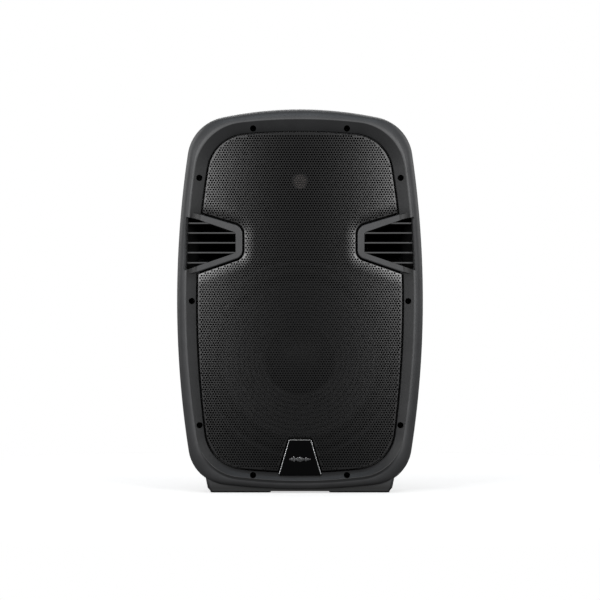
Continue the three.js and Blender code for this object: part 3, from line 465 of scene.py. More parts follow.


# the moulding's colour is darkened by painted shade in the recessed band, on the port bar ramps and on the
# base
ABS = material("textured_plastic", (0.064, 0.065, 0.0675), 0.43, mottle=0.2, grain=0.07, size=0.8,
               with_painted_shade=True)
PORT = material("port_plastic", (0.07, 0.071, 0.072), 0.48, mottle=0.12, grain=0.05, size=0.9)
BAFFLE = material("baffle_plastic", (0.003, 0.003, 0.0032), 0.7, mottle=0.15, grain=0.08, shine=0.15)
GRILLE = material("powder_coat", (0.0036, 0.0037, 0.004), 0.26, shine=0.6)
GLOSS = material("gloss_black", (0.0015, 0.0016, 0.0018), 0.05, shine=0.25)
SILVER = material("bright_trim", (0.62, 0.63, 0.64), 0.22, metal=1.0)
PALE = material("pale_print", (0.72, 0.72, 0.7), 0.55)
RUBBER = material("rubber", (0.006, 0.006, 0.006), 0.7, mottle=0.15, grain=0.06, size=1.2, shine=0.3)
PAPER = material("cone_paper", (0.021, 0.021, 0.022), 0.58, mottle=0.3, grain=0.1, size=1.6, shine=0.4)
CAP = material("dust_cap", (0.012, 0.012, 0.0125), 0.55, mottle=0.3, grain=0.06, size=1.6, shine=0.3)
FABRIC = material("spider_cloth", (0.42, 0.25, 0.08), 0.85, mottle=0.25, grain=0.1, size=0.7)
STEEL = material("zinc_steel", (0.55, 0.55, 0.54), 0.35, metal=1.0, mottle=0.08)
BLACK_STEEL = material("black_steel", (0.02, 0.02, 0.022), 0.4, metal=0.6)
NICKEL = material("nickel", (0.6, 0.59, 0.56), 0.25, metal=1.0)
COPPER = material("enamelled_wire", (0.5, 0.2, 0.09), 0.35, metal=0.9)
FERRITE = material("ferrite", (0.03, 0.03, 0.033), 0.6, mottle=0.2, grain=0.1)
PANEL = material("panel_paint", (0.034, 0.0342, 0.036), 0.42, mottle=0.12, grain=0.04, size=0.6)
ANODISED = material("anodised_fins", (0.07, 0.07, 0.075), 0.42, metal=0.7, mottle=0.1)
BOARD = material("circuit_board", (0.01, 0.09, 0.04), 0.4)
SATIN = material("satin_plastic", (0.012, 0.012, 0.013), 0.3)
KNOB = material("knob_plastic", (0.03, 0.03, 0.032), 0.45)
ROCKER_GLOSS = material("rocker_plastic", (0.011, 0.011, 0.012), 0.2)
SCREEN = material("throat_screen", (0.2, 0.175, 0.165), 0.6)
HOLLOW = material("dark_hollow", (0.004, 0.004, 0.004), 0.9)
FOIL = material("titanium", (0.5, 0.5, 0.52), 0.3, metal=1.0)
RED = material("red_lens", (0.5, 0.01, 0.01), 0.15)
GREEN = material("green_lens", (0.02, 0.35, 0.06), 0.15)

# ---- front moulding


def chin(depth, points, push):
    """Depth of a ring whose bottom run is set back by `push`, easing in round the lower corners."""
    fall = np.clip((70 - points[:, 1]) / 40, 0, 1)
    return depth + push * fall * fall * (3 - 2 * fall)


def bezel_rings():
    """Section of the front moulding, from the inside of the seam forwards and round."""
    lip = RIDGE - np.array([0, 0, 0, 0, 0, 4.2, 0, 0, 0])
    inner_edge = SEAM - 0.25
    levels = [(inner_edge, SILHOUETTE - 6), (inner_edge, SILHOUETTE - 2.9), (SEAM - 1, SILHOUETTE - 2.15)]
    for depth in np.linspace(SEAM - 5, WIDEST + 5, 7):
        levels.append((depth, SILHOUETTE - 2.1 * ((depth - WIDEST) / (SEAM - WIDEST)) ** 1.4))
    for turn in np.radians(np.linspace(90, 3, 25)):
        depth = WIDEST * (1 - math.cos(turn))
        levels.append((depth, between(RIDGE, SILHOUETTE, math.sin(turn))))
    outer_count = len(levels)
    levels.append((0.0, lip))
    slope = math.atan2(BAND_DEPTH, BAND_WIDTH)
    for turn in np.linspace(0, slope, 6)[1:]:
        share = RIDGE_ROLL * math.sin(turn) / BAND_WIDTH
        levels.append((RIDGE_ROLL * (1 - math.cos(turn)), between(lip, OPENING, share)))
    start_share = RIDGE_ROLL * math.sin(slope) / BAND_WIDTH
    start_depth = RIDGE_ROLL * (1 - math.cos(slope))
    for t in (0.2, 0.4, 0.6, 0.8):
        share = start_share + (0.95 - start_share) * t
        sag = 0.5 * math.sin(math.pi * t)
        depth = start_depth + (share - start_share) * BAND_DEPTH - sag
        levels.append((depth, between(lip, OPENING, share)))
    corner = start_depth + (1 - start_share) * BAND_DEPTH
    for t in np.linspace(0, 1, 6):
        share = 0.95 + 0.05 * (1 - (1 - t) ** 2)
        depth = (1 - t) ** 2 * (corner - 0.7) + 2 * t * (1 - t) * corner
        levels.append((depth + t**2 * (corner + 1.3), between(lip, OPENING, share)))
    levels += [(BAND_REACH, OPENING), (BAND_REACH + 0.01, OPENING - 5)]
    levels += [(BAFFLE_BACK, OPENING - 5), (BAFFLE_BACK + 0.01, SILHOUETTE - 7)]
    rings = []
    for k, (depth, outline) in enumerate(levels):
        points = outline_points(outline)
        push = 5.5 * (1 - max(depth, 0) / WIDEST) if depth < WIDEST and k < outer_count else 0
        rings.append(ring(points, chin(depth, points, push)))
    return rings


def mouth_tool(side):
    """Cutter for a port mouth: a leaning outer wall and a broken front edge."""
    rings = []
    for depth, lean, flare in MOUTH_LEVELS:
        corners = grown(PORT_MOUTH, flare)
        for k, slope in ((0, -0.34), (1, 0.2)):
            corners[k] = (corners[k][0] + lean, corners[k][1] + slope * lean, 2)
        rings.append(ring(filleted(on_side(side, corners), 5), depth))
    return loft(rings)


def screw_places():
    return [(side * x, z) for x, z in SHELL_SCREWS for side in (-1, 1)]


def plinth(front, back):
    """Base block: flared upwards, narrower behind the seam, with rounded edges."""
    rings = []
    for z, flare in PLINTH_LEVELS:
        radius = 5 + flare * 0.3
        ends = [(160 + flare - 42 * max(depth - SEAM, 0) / 235, depth) for depth in (front, back)]
        corners = [(x, depth, radius) for x, depth in ends]
        corners += [(-x, depth, radius) for x, depth in ends[::-1]]
        rings.append(ring(filleted(corners, 5), z, "z"))
    return loft(rings)


def front_shell():
    body = loft(bezel_rings(), closed=True)
    places = screw_places()
    tunnels = [disc(x, z, 5.5, -3, 70, 28) for x, z in places]
    mouths = [mouth_tool(side) for side in (1, -1)]
    base = combined(plinth(BASE_FRONT, SEAM - 0.4), tunnels[-2:])
    add("front_bezel", combined(body, tunnels + mouths), ABS, stands_for=["front_shell"], weighted=True)
    add("front_plinth", base, ABS, weighted=True)
    seat = [(5.5, SCREW_DEPTH), (8, SCREW_DEPTH), (8, 90), (0, 90), (0, 70), (5.5, 70)]
    add("screw_seats", together([lathe(seat, x, z, 20) for x, z in places]), BAFFLE)


def port_bar(side):
    """The flat bar round a port mouth; its arms ramp up to the ridge at their outer ends."""
    flat = slab(frame_corners(side, -0.5), BAR_DEPTH, 49.5, edge=1.9, rear_edge=0, steps=10)
    mesh = mesh_of("bar", flat)
    work = bmesh.new()
    work.from_mesh(mesh)
    for x in np.arange(166, 204, 1.5):
        every = work.verts[:] + work.edges[:] + work.faces[:]
        bmesh.ops.bisect_plane(work, geom=every, plane_co=(side * x, 0, 0), plane_no=(1, 0, 0))
    for v in work.verts:
        depth = v.co.y + HALF_DEPTH
        x, z = abs(v.co.x), v.co.z
        inner, outer = side_at(OPENING, z), side_at(RIDGE, z)
        if depth > 20 or x <= inner:
            continue
        rise = (x - inner) / (outer - inner)
        if rise <= 1:
            target = BAR_DEPTH * (1 - rise) + 0.12 + 2.4 * rise * (1 - rise) * 2
        else:
            across = min((x - outer) / (side_at(SILHOUETTE, z) - outer), 1)
            target = WIDEST * (1 - math.cos(math.asin(across))) + 0.5
        v.co.y += target - BAR_DEPTH
    points = np.array([v.co for v in work.verts])
    work.verts.index_update()
    faces = [tuple(v.index for v in f.verts) for f in work.faces]
    work.free()
    return combined((points, faces), [mouth_tool(side)])


def baffle():
    plate = loft([ring(outline_points(OPENING - 5.2), depth) for depth in (BAFFLE_FRONT, BAFFLE_BACK)])
    tools = [disc(0, WOOFER_Z, RIM_RADIUS, 40, 53, 128)]
    tools.append(block((0, HORN_Z, 119, 65, 14), 40, 53))
    tools += [slab(frame_corners(side, 0.3), 30, 53, edge=0) for side in (1, -1)]
    add("front_baffle", combined(plate, tools), BAFFLE)
    lip = [(RIM_RADIUS, 41.9), (RIM_RADIUS, 39.2), (177, 38.2), (183, 38.2), (184.6, 39.4), (185.4, 41.9)]
    add("woofer_rim", lathe(lip, z=WOOFER_Z, steps=128), BAFFLE)
    post = slab(grown(BADGE, -7), 13.3, BAFFLE_FRONT, edge=0)
    add("badge_post", post, BAFFLE)


# ---- port slats and ducts


def slat(side, z):
    """A thin slat with a round nose that falls back at its outer end like the shell does."""
    rings = []
    start = 150 if z in (SLATS[0], SLATS[-1]) else 108
    turn = np.radians(np.linspace(90, 270, 11))
    fall = 1 - np.sqrt(np.maximum(-np.cos(turn), 0))
    for x in [start, 165, 180, *np.linspace(184, 205, 12)]:
        across = min(max((x - 186) / 17, 0), 1)
        nose = 8 + 9 * (1 - math.sqrt(1 - across**2 * 0.96))
        half = SLAT_HALF + 0.25 * across**2
        front = np.column_stack([nose + 0.9 * fall, z + half * np.sin(turn)])
        section = np.concatenate([front, [(36, z - SLAT_HALF), (36, z + SLAT_HALF)]])
        rings.append(ring(section, side * x, "x"))
    return loft(rings)


def port_duct(side):
    """Duct behind a port mouth, narrowing backwards and open at both ends."""
    rings = []
    for growth, depth, pulled in DUCT_LEVELS:
        corners = [(x - pulled * across, z + pulled * up, radius)
                   for (x, z, radius), (across, up) in zip(PORT_MOUTH, DUCT_PULL)]
        for k, rise in ((0, 1.7), (1, -1.0)):
            corners[k] = (corners[k][0] - 5.0, corners[k][1] + rise, 2)
        rings.append(ring(filleted(on_side(side, grown(corners, growth)), 5), depth))
    return loft(rings, closed=True)


def ports():
    for name, side in (("left", -1), ("right", 1)):
        add(f"port_bar_{name}", port_bar(side), ABS, stands_for=[f"port_frame_{name}"], sharp=9)
        add(f"slats_{name}", together([slat(side, z) for z in SLATS]), PORT,
            stands_for=[f"port_louvre_{name}"])
        add(f"duct_{name}", port_duct(side), HOLLOW, stands_for=[f"port_duct_{name}"])


# ---- grille

# Holes: their pitch along a row, the distance between rows and their radius.
PITCH = 4.65
ROW = 4.11
HOLE = 1.74
HOLE_SIDES = 8
# the least steel between a hole and the edge
EDGE_STEEL = 0.6
# Sheet: its thickness, the radius of its folded edge and how deep that edge reaches.
SHEET = 1.5
FOLD = 0.9
LIP_DEPTH = 28.7
EDGE_STEP = 1.25
GRILLE_GAP = 2.9
GRILLE_PARTS = 5
# Crown: the depth at its edge, its height and half width; then the dish round the port frames.
CROWN_EDGE = 14.5
CROWN = 11
CROWN_HALF = 188
DISH = 1.1
DISH_REACH = 20


def crossing(p, q, r, s):
    """Where segment p-q meets segment r-s, as a share of each, or None."""
    a, b, c = q - p, s - r, r - p
    det = a[0] * b[1] - a[1] * b[0]
    if abs(det) < 1e-12:
        return None
    t, u = (c[0] * b[1] - c[1] * b[0]) / det, (c[0] * a[1] - c[1] * a[0]) / det
    return (t, u) if 0 <= t < 1 and 0 <= u < 1 else None


def notched(outer, tool):
    """Polygon `outer` less convex polygon `tool`, which crosses it twice."""
    hits = []
    for i in range(len(outer)):
        for j in range(len(tool)):
            p, q = outer[i], outer[(i + 1) % len(outer)]
            found = crossing(p, q, tool[j], tool[(j + 1) % len(tool)])
            if found:
                hits.append((i + found[0], j + found[1], p + (q - p) * found[0]))
    (i1, j1, a), (i2, j2, b) = sorted(hits, key=lambda hit: hit[0])

    def walk(polygon, start, stop, step):
        n, picked = len(polygon), []
        k = math.floor(start) + 1 if step > 0 else math.ceil(start) - 1
        span = (stop - start) * step % n
        while (k - start) * step < span:
            picked.append(polygon[k % n])
            k += step
        return picked

    middle = outer[(math.floor(i1) + 1) % len(outer)]
    edges = np.roll(tool, -1, axis=0) - tool
    offsets = middle - tool
    inside = np.all(edges[:, 0] * offsets[:, 1] - edges[:, 1] * offsets[:, 0] > 0)
    if inside:  # the part from the first hit to the second lies in the tool
        (i1, j1, a), (i2, j2, b) = (i2, j2, b), (i1, j1, a)
    return np.array([a, *walk(outer, i1, i2, 1), b, *walk(tool, j2, j1, -1)])


def subdivided(polygon, longest):
    made = []
    for p, q in zip(polygon, np.roll(polygon, -1, axis=0)):
        steps = max(1, math.ceil(np.linalg.norm(q - p) / longest))
        made += [p + (q - p) * k / steps for k in range(steps)]
    made = np.array(made)
    keep = np.linalg.norm(made - np.roll(made, 1, axis=0), axis=1) > 1e-3
    return made[keep]


def nearest_edge(points, polygon):
    """Distance to a finely divided outline and the direction towards it, for each point."""
    tree = KDTree(len(polygon))
    for i, (x, y) in enumerate(polygon.tolist()):
        tree.insert((x, y, 0), i)
    tree.balance()
    nearest = np.array([tree.find((x, y, 0))[1] for x, y in points.tolist()])
    best, picked, normal = np.full(len(points), np.inf), np.zeros_like(points), np.zeros_like(points)
    for first in (nearest - 1, nearest):
        start, span = polygon[first], polygon[(first + 1) % len(polygon)] - polygon[first]
        share = np.clip(((points - start) * span).sum(1) / (span**2).sum(1), 0, 1)
        gap = start + share[:, None] * span - points
        size = np.linalg.norm(gap, axis=1)
        closer = size < best
        best[closer], picked[closer] = size[closer], gap[closer]
        outward = np.column_stack([span[:, 1], -span[:, 0]]) / np.linalg.norm(span, axis=1)[:, None]
        normal[closer] = outward[closer]
    far = (best > 0.01)[:, None]
    return best, np.where(far, picked / np.maximum(best, 1e-9)[:, None], normal)


def inside_of(points, polygon):
    x, y = points[:, 0, None], points[:, 1, None]
    (x0, y0), (x1, y1) = polygon.T, np.roll(polygon, -1, axis=0).T
    with np.errstate(divide="ignore", invalid="ignore"):
        meets = ((y0 > y) != (y1 > y)) & (x < (x1 - x0) * (y - y0) / (y1 - y0) + x0)
    return meets.sum(1) % 2 == 1


def bridge(outer, inner):
    """Triangles of the ring between two star-shaped polygons about one centre."""
    turn = 2 * math.pi

    def angle(point):
        return math.atan2(point[1], point[0]) % turn

    a = sorted(range(len(outer)), key=lambda i: angle(outer[i]))
    b = sorted(range(len(inner)), key=lambda i: angle(inner[i]))
    triangles, i, j = [], 0, 0
    while i < len(a) or j < len(b):
        next_a = angle(outer[a[(i + 1) % len(a)]]) + turn * ((i + 1) // len(a))
        next_b = angle(inner[b[(j + 1) % len(b)]]) + turn * ((j + 1) // len(b))
        here_a, here_b = a[i % len(a)], len(outer) + b[j % len(b)]
        if j >= len(b) or (i < len(a) and next_a <= next_b):
            triangles.append((here_a, a[(i + 1) % len(a)], here_b))
            i += 1
        else:
            triangles.append((here_a, len(outer) + b[(j + 1) % len(b)], here_b))
            j += 1
    return triangles


def fold_rows(outline, centres):
    """Points in rows beside the edge, so that the folded rim comes out round."""
    along = np.roll(outline, -1, axis=0) - np.roll(outline, 1, axis=0)
    inward = np.column_stack([-along[:, 1], along[:, 0]]) / np.linalg.norm(along, axis=1)[:, None]
    if not inside_of(outline[:1] + 0.5 * inward[:1], outline)[0]:
        inward = -inward
    rows = []
    for share in (0.05, 0.18, 0.4, 0.68, 1.0):
        points = outline + inward * FOLD * share
        distance, _ = nearest_edge(points, outline)
        rows.append(points[(distance > FOLD * share - 0.02) & inside_of(points, outline)])
    rows = np.concatenate(rows)
    near = np.array([((centres - p) ** 2).sum(1).min() for p in rows])
    return rows[near > (HOLE + 0.2) ** 2]


def perforated_outline():
    """Edge of the sheet: the opening less the two port frames and the badge, finely divided."""
    outline = outline_points(OPENING - GRILLE_GAP, steps=(40, 24, 40))
    notch = grown([(230, 373.5, 0), (230, 509.7, 0), *PORT_FRAME[2:]], GRILLE_GAP)
    for side in (1, -1):
        outline = notched(outline, filleted(on_side(side, notch), 10))
    return subdivided(notched(outline, filleted(grown(BADGE, GRILLE_GAP), 5)), EDGE_STEP)


def in_a_hole(middles, core, fringe):
    """Which points lie in the six-sided cell of a core hole, or in a hole beside the edge."""
    core, fringe = ({tuple(c) for c in np.round(kind, 2)} for kind in (core, fringe))
    rows = np.round((middles[:, 1:] - CENTRE_Z) / ROW) + (-1, 0, 1)
    shift = rows % 2 / 2
    x = (np.round(middles[:, :1] / PITCH - shift) + shift) * PITCH
    z = CENTRE_Z + rows * ROW
    gap = np.hypot(middles[:, :1] - x, middles[:, 1:] - z)
    nearest = gap.argmin(1)[:, None]
    x, z, gap = (np.take_along_axis(values, nearest, 1).ravel() for values in (x, z, gap))
    places = zip(np.round(x, 2), np.round(z, 2), gap < 0.9 * HOLE)
    return np.array([(px, pz) in core or (close and (px, pz) in fringe) for px, pz, close in places])


def grille_plane():
    """Flat layout of the perforated sheet: points, triangles, hole rims and the outline."""
    outline = perforated_outline()
    below = (ROW**2 - (PITCH / 2) ** 2) / (2 * ROW)
    above = ROW - below
    half = PITCH / 2
    right = [(half, -below), (half, below), (0, above)]
    cell = np.array(right + [(-x, -z) for x, z in right])
    turn = np.radians(360 / HOLE_SIDES * (np.arange(HOLE_SIDES) + 0.5))
    hole = HOLE * np.column_stack([np.cos(turn), np.sin(turn)])

    rows, columns = np.arange(-80, 81), np.arange(-42, 43)
    row, column = (grid.ravel() for grid in np.meshgrid(rows, columns))
    centres = np.column_stack([(column + (row % 2) / 2) * PITCH, CENTRE_Z + row * ROW])
    centres = centres[inside_of(centres, outline)]
    distance, _ = nearest_edge(centres, outline)
    clear = distance > HOLE + EDGE_STEEL
    centres, distance = centres[clear], distance[clear]
    whole = distance > above + FOLD + 0.3
    core, fringe = centres[whole], centres[~whole]

    # round each hole of the core, a cell of ready-made triangles
    template = np.concatenate([cell, hole])
    points = (core[:, None] + template).reshape(-1, 2)
    ring_triangles = np.array(bridge(cell, hole))
    triangles = (np.arange(len(core))[:, None, None] * len(template) + ring_triangles).reshape(-1, 3)

    # the sides that only one cell has are the border of the core
    corners = (core[:, None] + cell).reshape(-1, 2)
    keys, which = np.unique(np.round(corners, 3), axis=0, return_inverse=True)
    which = which.reshape(-1, 6)
    sides = np.stack([which, np.roll(which, -1, axis=1)], axis=2).reshape(-1, 2)
    ordered, count = np.unique(np.sort(sides, axis=1), axis=0, return_counts=True)
    border = ordered[count == 1]
    border_points = np.unique(border)

    # the sheet between that border and the outline is filled with triangles
    rims = (fringe[:, None] + hole).reshape(-1, 2)
    plan = np.concatenate([outline, rims, keys[border_points], fold_rows(outline, centres)])
    lookup = np.full(len(keys), -1)
    lookup[border_points] = np.arange(len(border_points)) + len(outline) + len(rims)
    n = len(outline)
    constraints = [(i, (i + 1) % n) for i in range(n)]
    for k in range(len(fringe)):
        first = n + HOLE_SIDES * k
        constraints += [(first + i, first + (i + 1) % HOLE_SIDES) for i in range(HOLE_SIDES)]
    constraints += [tuple(pair) for pair in lookup[border].tolist()]
    drawn = delaunay_2d_cdt([Vector(p) for p in plan.tolist()], constraints, [], 0, 1e-4)
    filled, mesh = np.array([tuple(v) for v in drawn[0]]), np.array([tuple(f) for f in drawn[2]])
    mesh = mesh[inside_of(filled[mesh].mean(1), outline)]
    mesh = mesh[~in_a_hole(filled[mesh].mean(1), core, fringe)]
    triangles = np.concatenate([triangles, mesh + len(points)])
    points = np.concatenate([points, filled])
    holes = np.concatenate([(core[:, None] + hole), (fringe[:, None] + hole)])
    return points, triangles, holes, outline


def dished(points):
    """How far the sheet is pressed back round the port frames."""
    total = np.zeros(len(points))
    for side in (1, -1):
        frame_edge = filleted(frame_corners(side, GRILLE_GAP), 10)
        distance, _ = nearest_edge(points, subdivided(frame_edge, EDGE_STEP))
        total += DISH * np.clip(1 - distance / DISH_REACH, 0, 1) ** 2
    return total


def in_space(points, outline, behind):
    """The flat layout bent to the crown and folded back at its edge, moved in by `behind`."""
    distance, towards = nearest_edge(points, outline)
    lean = np.clip((FOLD - distance) / FOLD, 0, 1)
    upright = np.sqrt(1 - lean**2)
    crown = CROWN_EDGE - CROWN * (1 - (points[:, 0] / CROWN_HALF) ** 2) + dished(points)
    x = points[:, 0] - behind * lean * towards[:, 0]
    z = points[:, 1] - behind * lean * towards[:, 1]
    depth = crown + FOLD * (1 - upright) + behind * upright
    return np.column_stack([x, depth - HALF_DEPTH, z])


def grille():
    points, triangles, holes, outline = grille_plane()
    total = len(points)
    front, back = in_space(points, outline, 0), in_space(points, outline, SHEET)
    rims = holes.reshape(-1, 2)
    rim_front, rim_back = in_space(rims, outline, 0), in_space(rims, outline, SHEET)
    edge_front, edge_back = in_space(outline, outline, 0), in_space(outline, outline, SHEET)
    lip_out, lip_in = edge_front.copy(), edge_back.copy()
    lip_out[:, 1] = lip_in[:, 1] = LIP_DEPTH - HALF_DEPTH
    everything = np.concatenate([front, back, rim_front, rim_back, edge_front, lip_out, lip_in, edge_back])

    step = len(rims)
    a = np.arange(step).reshape(-1, HOLE_SIDES) + 2 * total
    b = np.roll(a, -1, axis=1)
    walls = [np.stack([a, b, b + step], 2), np.stack([a, b + step, a + step], 2)]
    start, n = 2 * total + 2 * step, len(outline)
    i = np.arange(n)
    j = (i + 1) % n
    strips = []
    for level in range(3):
        p, q = start + level * n, start + (level + 1) * n
        strips += [np.stack([p + i, q + i, q + j], 1), np.stack([p + i, q + j, p + j], 1)]
    sheets = [triangles, triangles[:, ::-1] + total]
    faces = np.concatenate([*sheets, *[w.reshape(-1, 3) for w in walls], *strips])

    keys, which = np.unique(np.round(everything, 4), axis=0, return_inverse=True)
    faces = which.ravel()[faces]
    faces = faces[(faces[:, 0] != faces[:, 1]) & (faces[:, 1] != faces[:, 2]) & (faces[:, 2] != faces[:, 0])]
    height = keys[faces][:, :, 2].mean(1)
    limits = np.quantile(height, np.linspace(0, 1, GRILLE_PARTS + 1))
    limits[-1] += 1
    for part in range(GRILLE_PARTS):
        picked = faces[(height >= limits[part]) & (height < limits[part + 1])]
        used, local = np.unique(picked, return_inverse=True)
        mesh = bpy.data.meshes.new(f"grille_sheet_{part + 1}")
        mesh.from_pydata((keys[used] * 0.001).tolist(), [], local.reshape(-1, 3).tolist())
        mesh.materials.append(GRILLE)
        made = link_to_scene(mesh.name, mesh)
        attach(made, "cabinet")
        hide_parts("grille")


def badge():
    face = combined(slab(BADGE, 3.5, 13, edge=0.6), [slab(grown(BADGE, -1.9), 1, 4.3, edge=0)])
    add("badge_body", face, GLOSS, stands_for=["badge_plate"])
    add("badge_face", slab(grown(BADGE, -2.0), 3.9, 5, edge=0.3), GLOSS)
    trims = [rod((side * 36.6, 3.55, 33.6), (side * 19.0, 3.55, 93.4), 0.85, 12) for side in (1, -1)]
    add("badge_trim", together(trims), SILVER)
    top = rod((-18.4, 3.6, 94.1), (18.4, 3.6, 94.1), 0.55, 10)
    add("badge_top_edge", top, STEEL)
    heights = (3.0, 5.4, 8.2, 4.4, 7.0, 8.8, 5.8, 3.6, 6.6, 4.0, 2.4)
    bars = []
    for i, height in enumerate(heights):
        corners = rectangle((i - 5) * 3.5, 60, 0.9, height / 2, 0.3)
        bars.append(slab(corners, 3.5, 4.2, edge=0.15, rear_edge=0, steps=2))
    add("badge_emblem", together(bars), SILVER)


# ---- woofer and horn


def cone_depth(radius):
    return CONE_EDGE_DEPTH + CONE_FALL * (CONE_EDGE - radius) / (CONE_EDGE - COIL)


def radial_blend(made):
    """Bakes the piece's placement into its mesh and measures each point's distance from the woofer axis,
    which nothing uses.
    """
    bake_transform(made)
    points = shape_of(made.data)[0]
    radius = np.hypot(points[:, 0], points[:, 2] - WOOFER_Z * 0.001) * 1000


def woofer():
    ribs = []
    for radius in np.linspace(CONE_EDGE, 33.6, 150):
        ripple = 0.35 * math.sin((radius - 60) * 2 * math.pi / 9) * (1 if 70 < radius < 138 else 0.2)
        ribs.append((radius, cone_depth(radius) + ripple))
    cone = ribs + [(r, d + 1.2) for r, d in reversed(ribs)]
    add("cone", lathe(cone, z=WOOFER_Z, steps=96), PAPER, body="woofer_moving",
        stands_for=["woofer_cone"], sharp=60)
    edge = cone_depth(64) - 0.8
    cap = [(66.5, edge + 0.6), (65.4, edge - 0.6)]
    cap += [(64 * (1 - t), edge - 24 * (1 - (1 - t) ** 2)) for t in np.linspace(0, 1, 26)]
    inner = [(max(r - 1.2, 0), d + 1.2) for r, d in reversed(cap)]
    add("dust_cap", lathe(cap + inner, z=WOOFER_Z, steps=96), CAP, body="woofer_moving",
        stands_for=["woofer_dust_cap"], sharp=60)

    turn = np.linspace(math.pi, 0, 19)
    roll = [(156.5 + 10.5 * math.cos(t), 53.4 - 9.2 * math.sin(t)) for t in turn]
    under = [(156.5 + 9.7 * math.cos(t), 53.8 - 8.4 * math.sin(t)) for t in turn[::-1]]
    glued = cone_depth(140)
    section = [(139.5, glued - 1.0), *roll, (170.8, 53.4), (170.8, 53.8), *under, (139.5, glued - 0.2)]
    surround = add("surround", lathe(section, z=WOOFER_Z, steps=96), RUBBER, body=None,
                   stands_for=["woofer_surround"], sharp=60)
    radial_blend(surround)

    wave = []
    for radius in np.linspace(34.2, 98.2, 65):
        swing = 1.9 * math.sin((radius - 34.2) * 2 * math.pi / 9.2)
        wave.append((radius, 121 + swing * min(1, (98.2 - radius) / 6)))
    section = wave + [(r, d + 0.7) for r, d in reversed(wave)]
    spider = add("spider", lathe(section, z=WOOFER_Z, steps=72), FABRIC, body=None,
                 stands_for=["woofer_spider"], sharp=60)
    radial_blend(spider)

    coil = [(COIL, 105), (COIL, 118)]
    for depth in np.arange(118, 165, 1.2):
        coil += [(COIL, depth), (COIL + 0.25, depth + 0.6)]
    coil += [(COIL, 165), (COIL - 1.5, 165), (COIL - 1.5, 105)]
    add("voice_coil", lathe(coil, z=WOOFER_Z, steps=64), COPPER, body="woofer_moving",
        stands_for=["woofer_voice_coil"])
    flange = [(171.5, 50.4), (192, 50.4), (193, 51.2), (193, 53.3), (171.5, 53.3)]
    add("basket_flange", lathe(flange, z=WOOFER_Z, steps=128), BLACK_STEEL)


def horn_section(depth, growth):
    """Outline of the horn: round at the throat, close to a rectangle at the mouth."""
    share = 1 - (depth - HORN_FRONT) / (HORN_BACK - HORN_FRONT)
    half_width, half_height = (THROAT * (size / THROAT) ** share + growth for size in HORN_MOUTH)
    power = 2 / (2 + 7 * max(share, 0) ** 1.5)
    turn = (np.arange(64) + 0.5) / 64 * 2 * math.pi
    c, s = np.cos(turn), np.sin(turn)
    x = half_width * np.sign(c) * np.abs(c) ** power
    z = half_height * np.sign(s) * np.abs(s) ** power
    return ring(np.column_stack([x, HORN_Z + z]), depth)


def horn():
    depths = 38.3 + (HORN_BACK - 38.3) * np.linspace(0, 1, 22) ** 1.5
    inner = [horn_section(depth, 0) for depth in depths]
    outer = [horn_section(depth, 3) for depth in depths[::-1]]
    add("horn_flare", loft(inner + outer, closed=True), BAFFLE, stands_for=["horn"],
        sharp=50)
    mouth = loft([horn_section(HORN_FRONT + 0.01, 0.2) - (0, 2, 0), horn_section(44, 0.2)])
    rim = block((0, HORN_Z, 128, 70, 12), HORN_FRONT, HORN_FRONT + 4, edge=1.0, rear_edge=0)
    add("horn_rim", combined(rim, [mouth]), BAFFLE)
    heads = [screw_head(x, HORN_Z + z, HORN_FRONT - 0.4) for x in (-121, 121) for z in (-63, 63)]
    add("horn_screws", together(heads), BLACK_STEEL)
    screen = disc(0, HORN_Z, THROAT - 0.1, HORN_BACK - 1.5, HORN_BACK, 32)
    add("throat_screen", screen, SCREEN)
    plate = [(12.8, 140), (38, 140), (38, HORN_BACK), (12.8, HORN_BACK)]
    add("driver_plate", lathe(plate, z=HORN_Z, steps=48), PORT)


# ---- small hardware


def screw_head(x, z, front, radius=3.6, rear=False):
    """Domed head with a cross recess, facing forwards, or backwards if rear."""
    out = [(0, 0), (radius * 0.45, 0.05), (radius * 0.8, 0.45), (radius, 1.1), (radius, 2.0), (0, 2.0)]
    sign = -1 if rear else 1
    profile = [(r, front + sign * d) for r, d in out]
    head = lathe(profile, x, z, 24, closed=False)
    level = sorted((front - sign * 0.5, front + sign * 0.9))
    arms = [block((x, z, a, b, 0.05), *level, steps=1)
            for a, b in ((radius * 0.55, 0.42), (0.42, radius * 0.55))]
    return combined(head, arms)


def shell_screws():
    head = screw_head(0, 0, SCREW_DEPTH, radius=4.5)
    names = [f"shell_screw_{i + 1:02d}" for i in range(10)]
    shapes = [(head[0] + (x, 0, z), head[1]) for x, z in screw_places()]
    add("shell_screws", together(shapes), BLACK_STEEL, stands_for=names)


# ---- rear shell


def rear_outline(depth):
    share = min(max((depth - SEAM) / (REAR_CORNER - SEAM), 0), 1)
    return between(SILHOUETTE - 2, REAR, share**1.35)


def rear_rings(distance, front, back):
    depths = np.linspace(front, back, 22)
    return [ring(outline_points(rear_outline(depth) - distance), depth) for depth in depths]


def pocket(corners, roll, surface, floor):
    """Cutter for a grip pocket whose mouth rolls over by `roll`.

    surface(points, inward) sets an outline in the shell and floor(points, rise) sets one above
    the bottom of the pocket.
    """
    rings = [surface(filleted(grown(corners, roll + 1.5), 8), -6)]
    for turn in np.linspace(0, math.pi / 2, 6):
        points = filleted(grown(corners, roll * (1 - math.sin(turn))), 8)
        rings.append(surface(points, roll * (1 - math.cos(turn)) - 0.02 * (turn == 0)))
    for turn in np.linspace(0, math.pi / 2, 5):
        points = filleted(grown(corners, -6 * (1 - math.cos(turn))), 8)
        rings.append(floor(points, 6 * (1 - math.sin(turn))))
    return loft(rings)


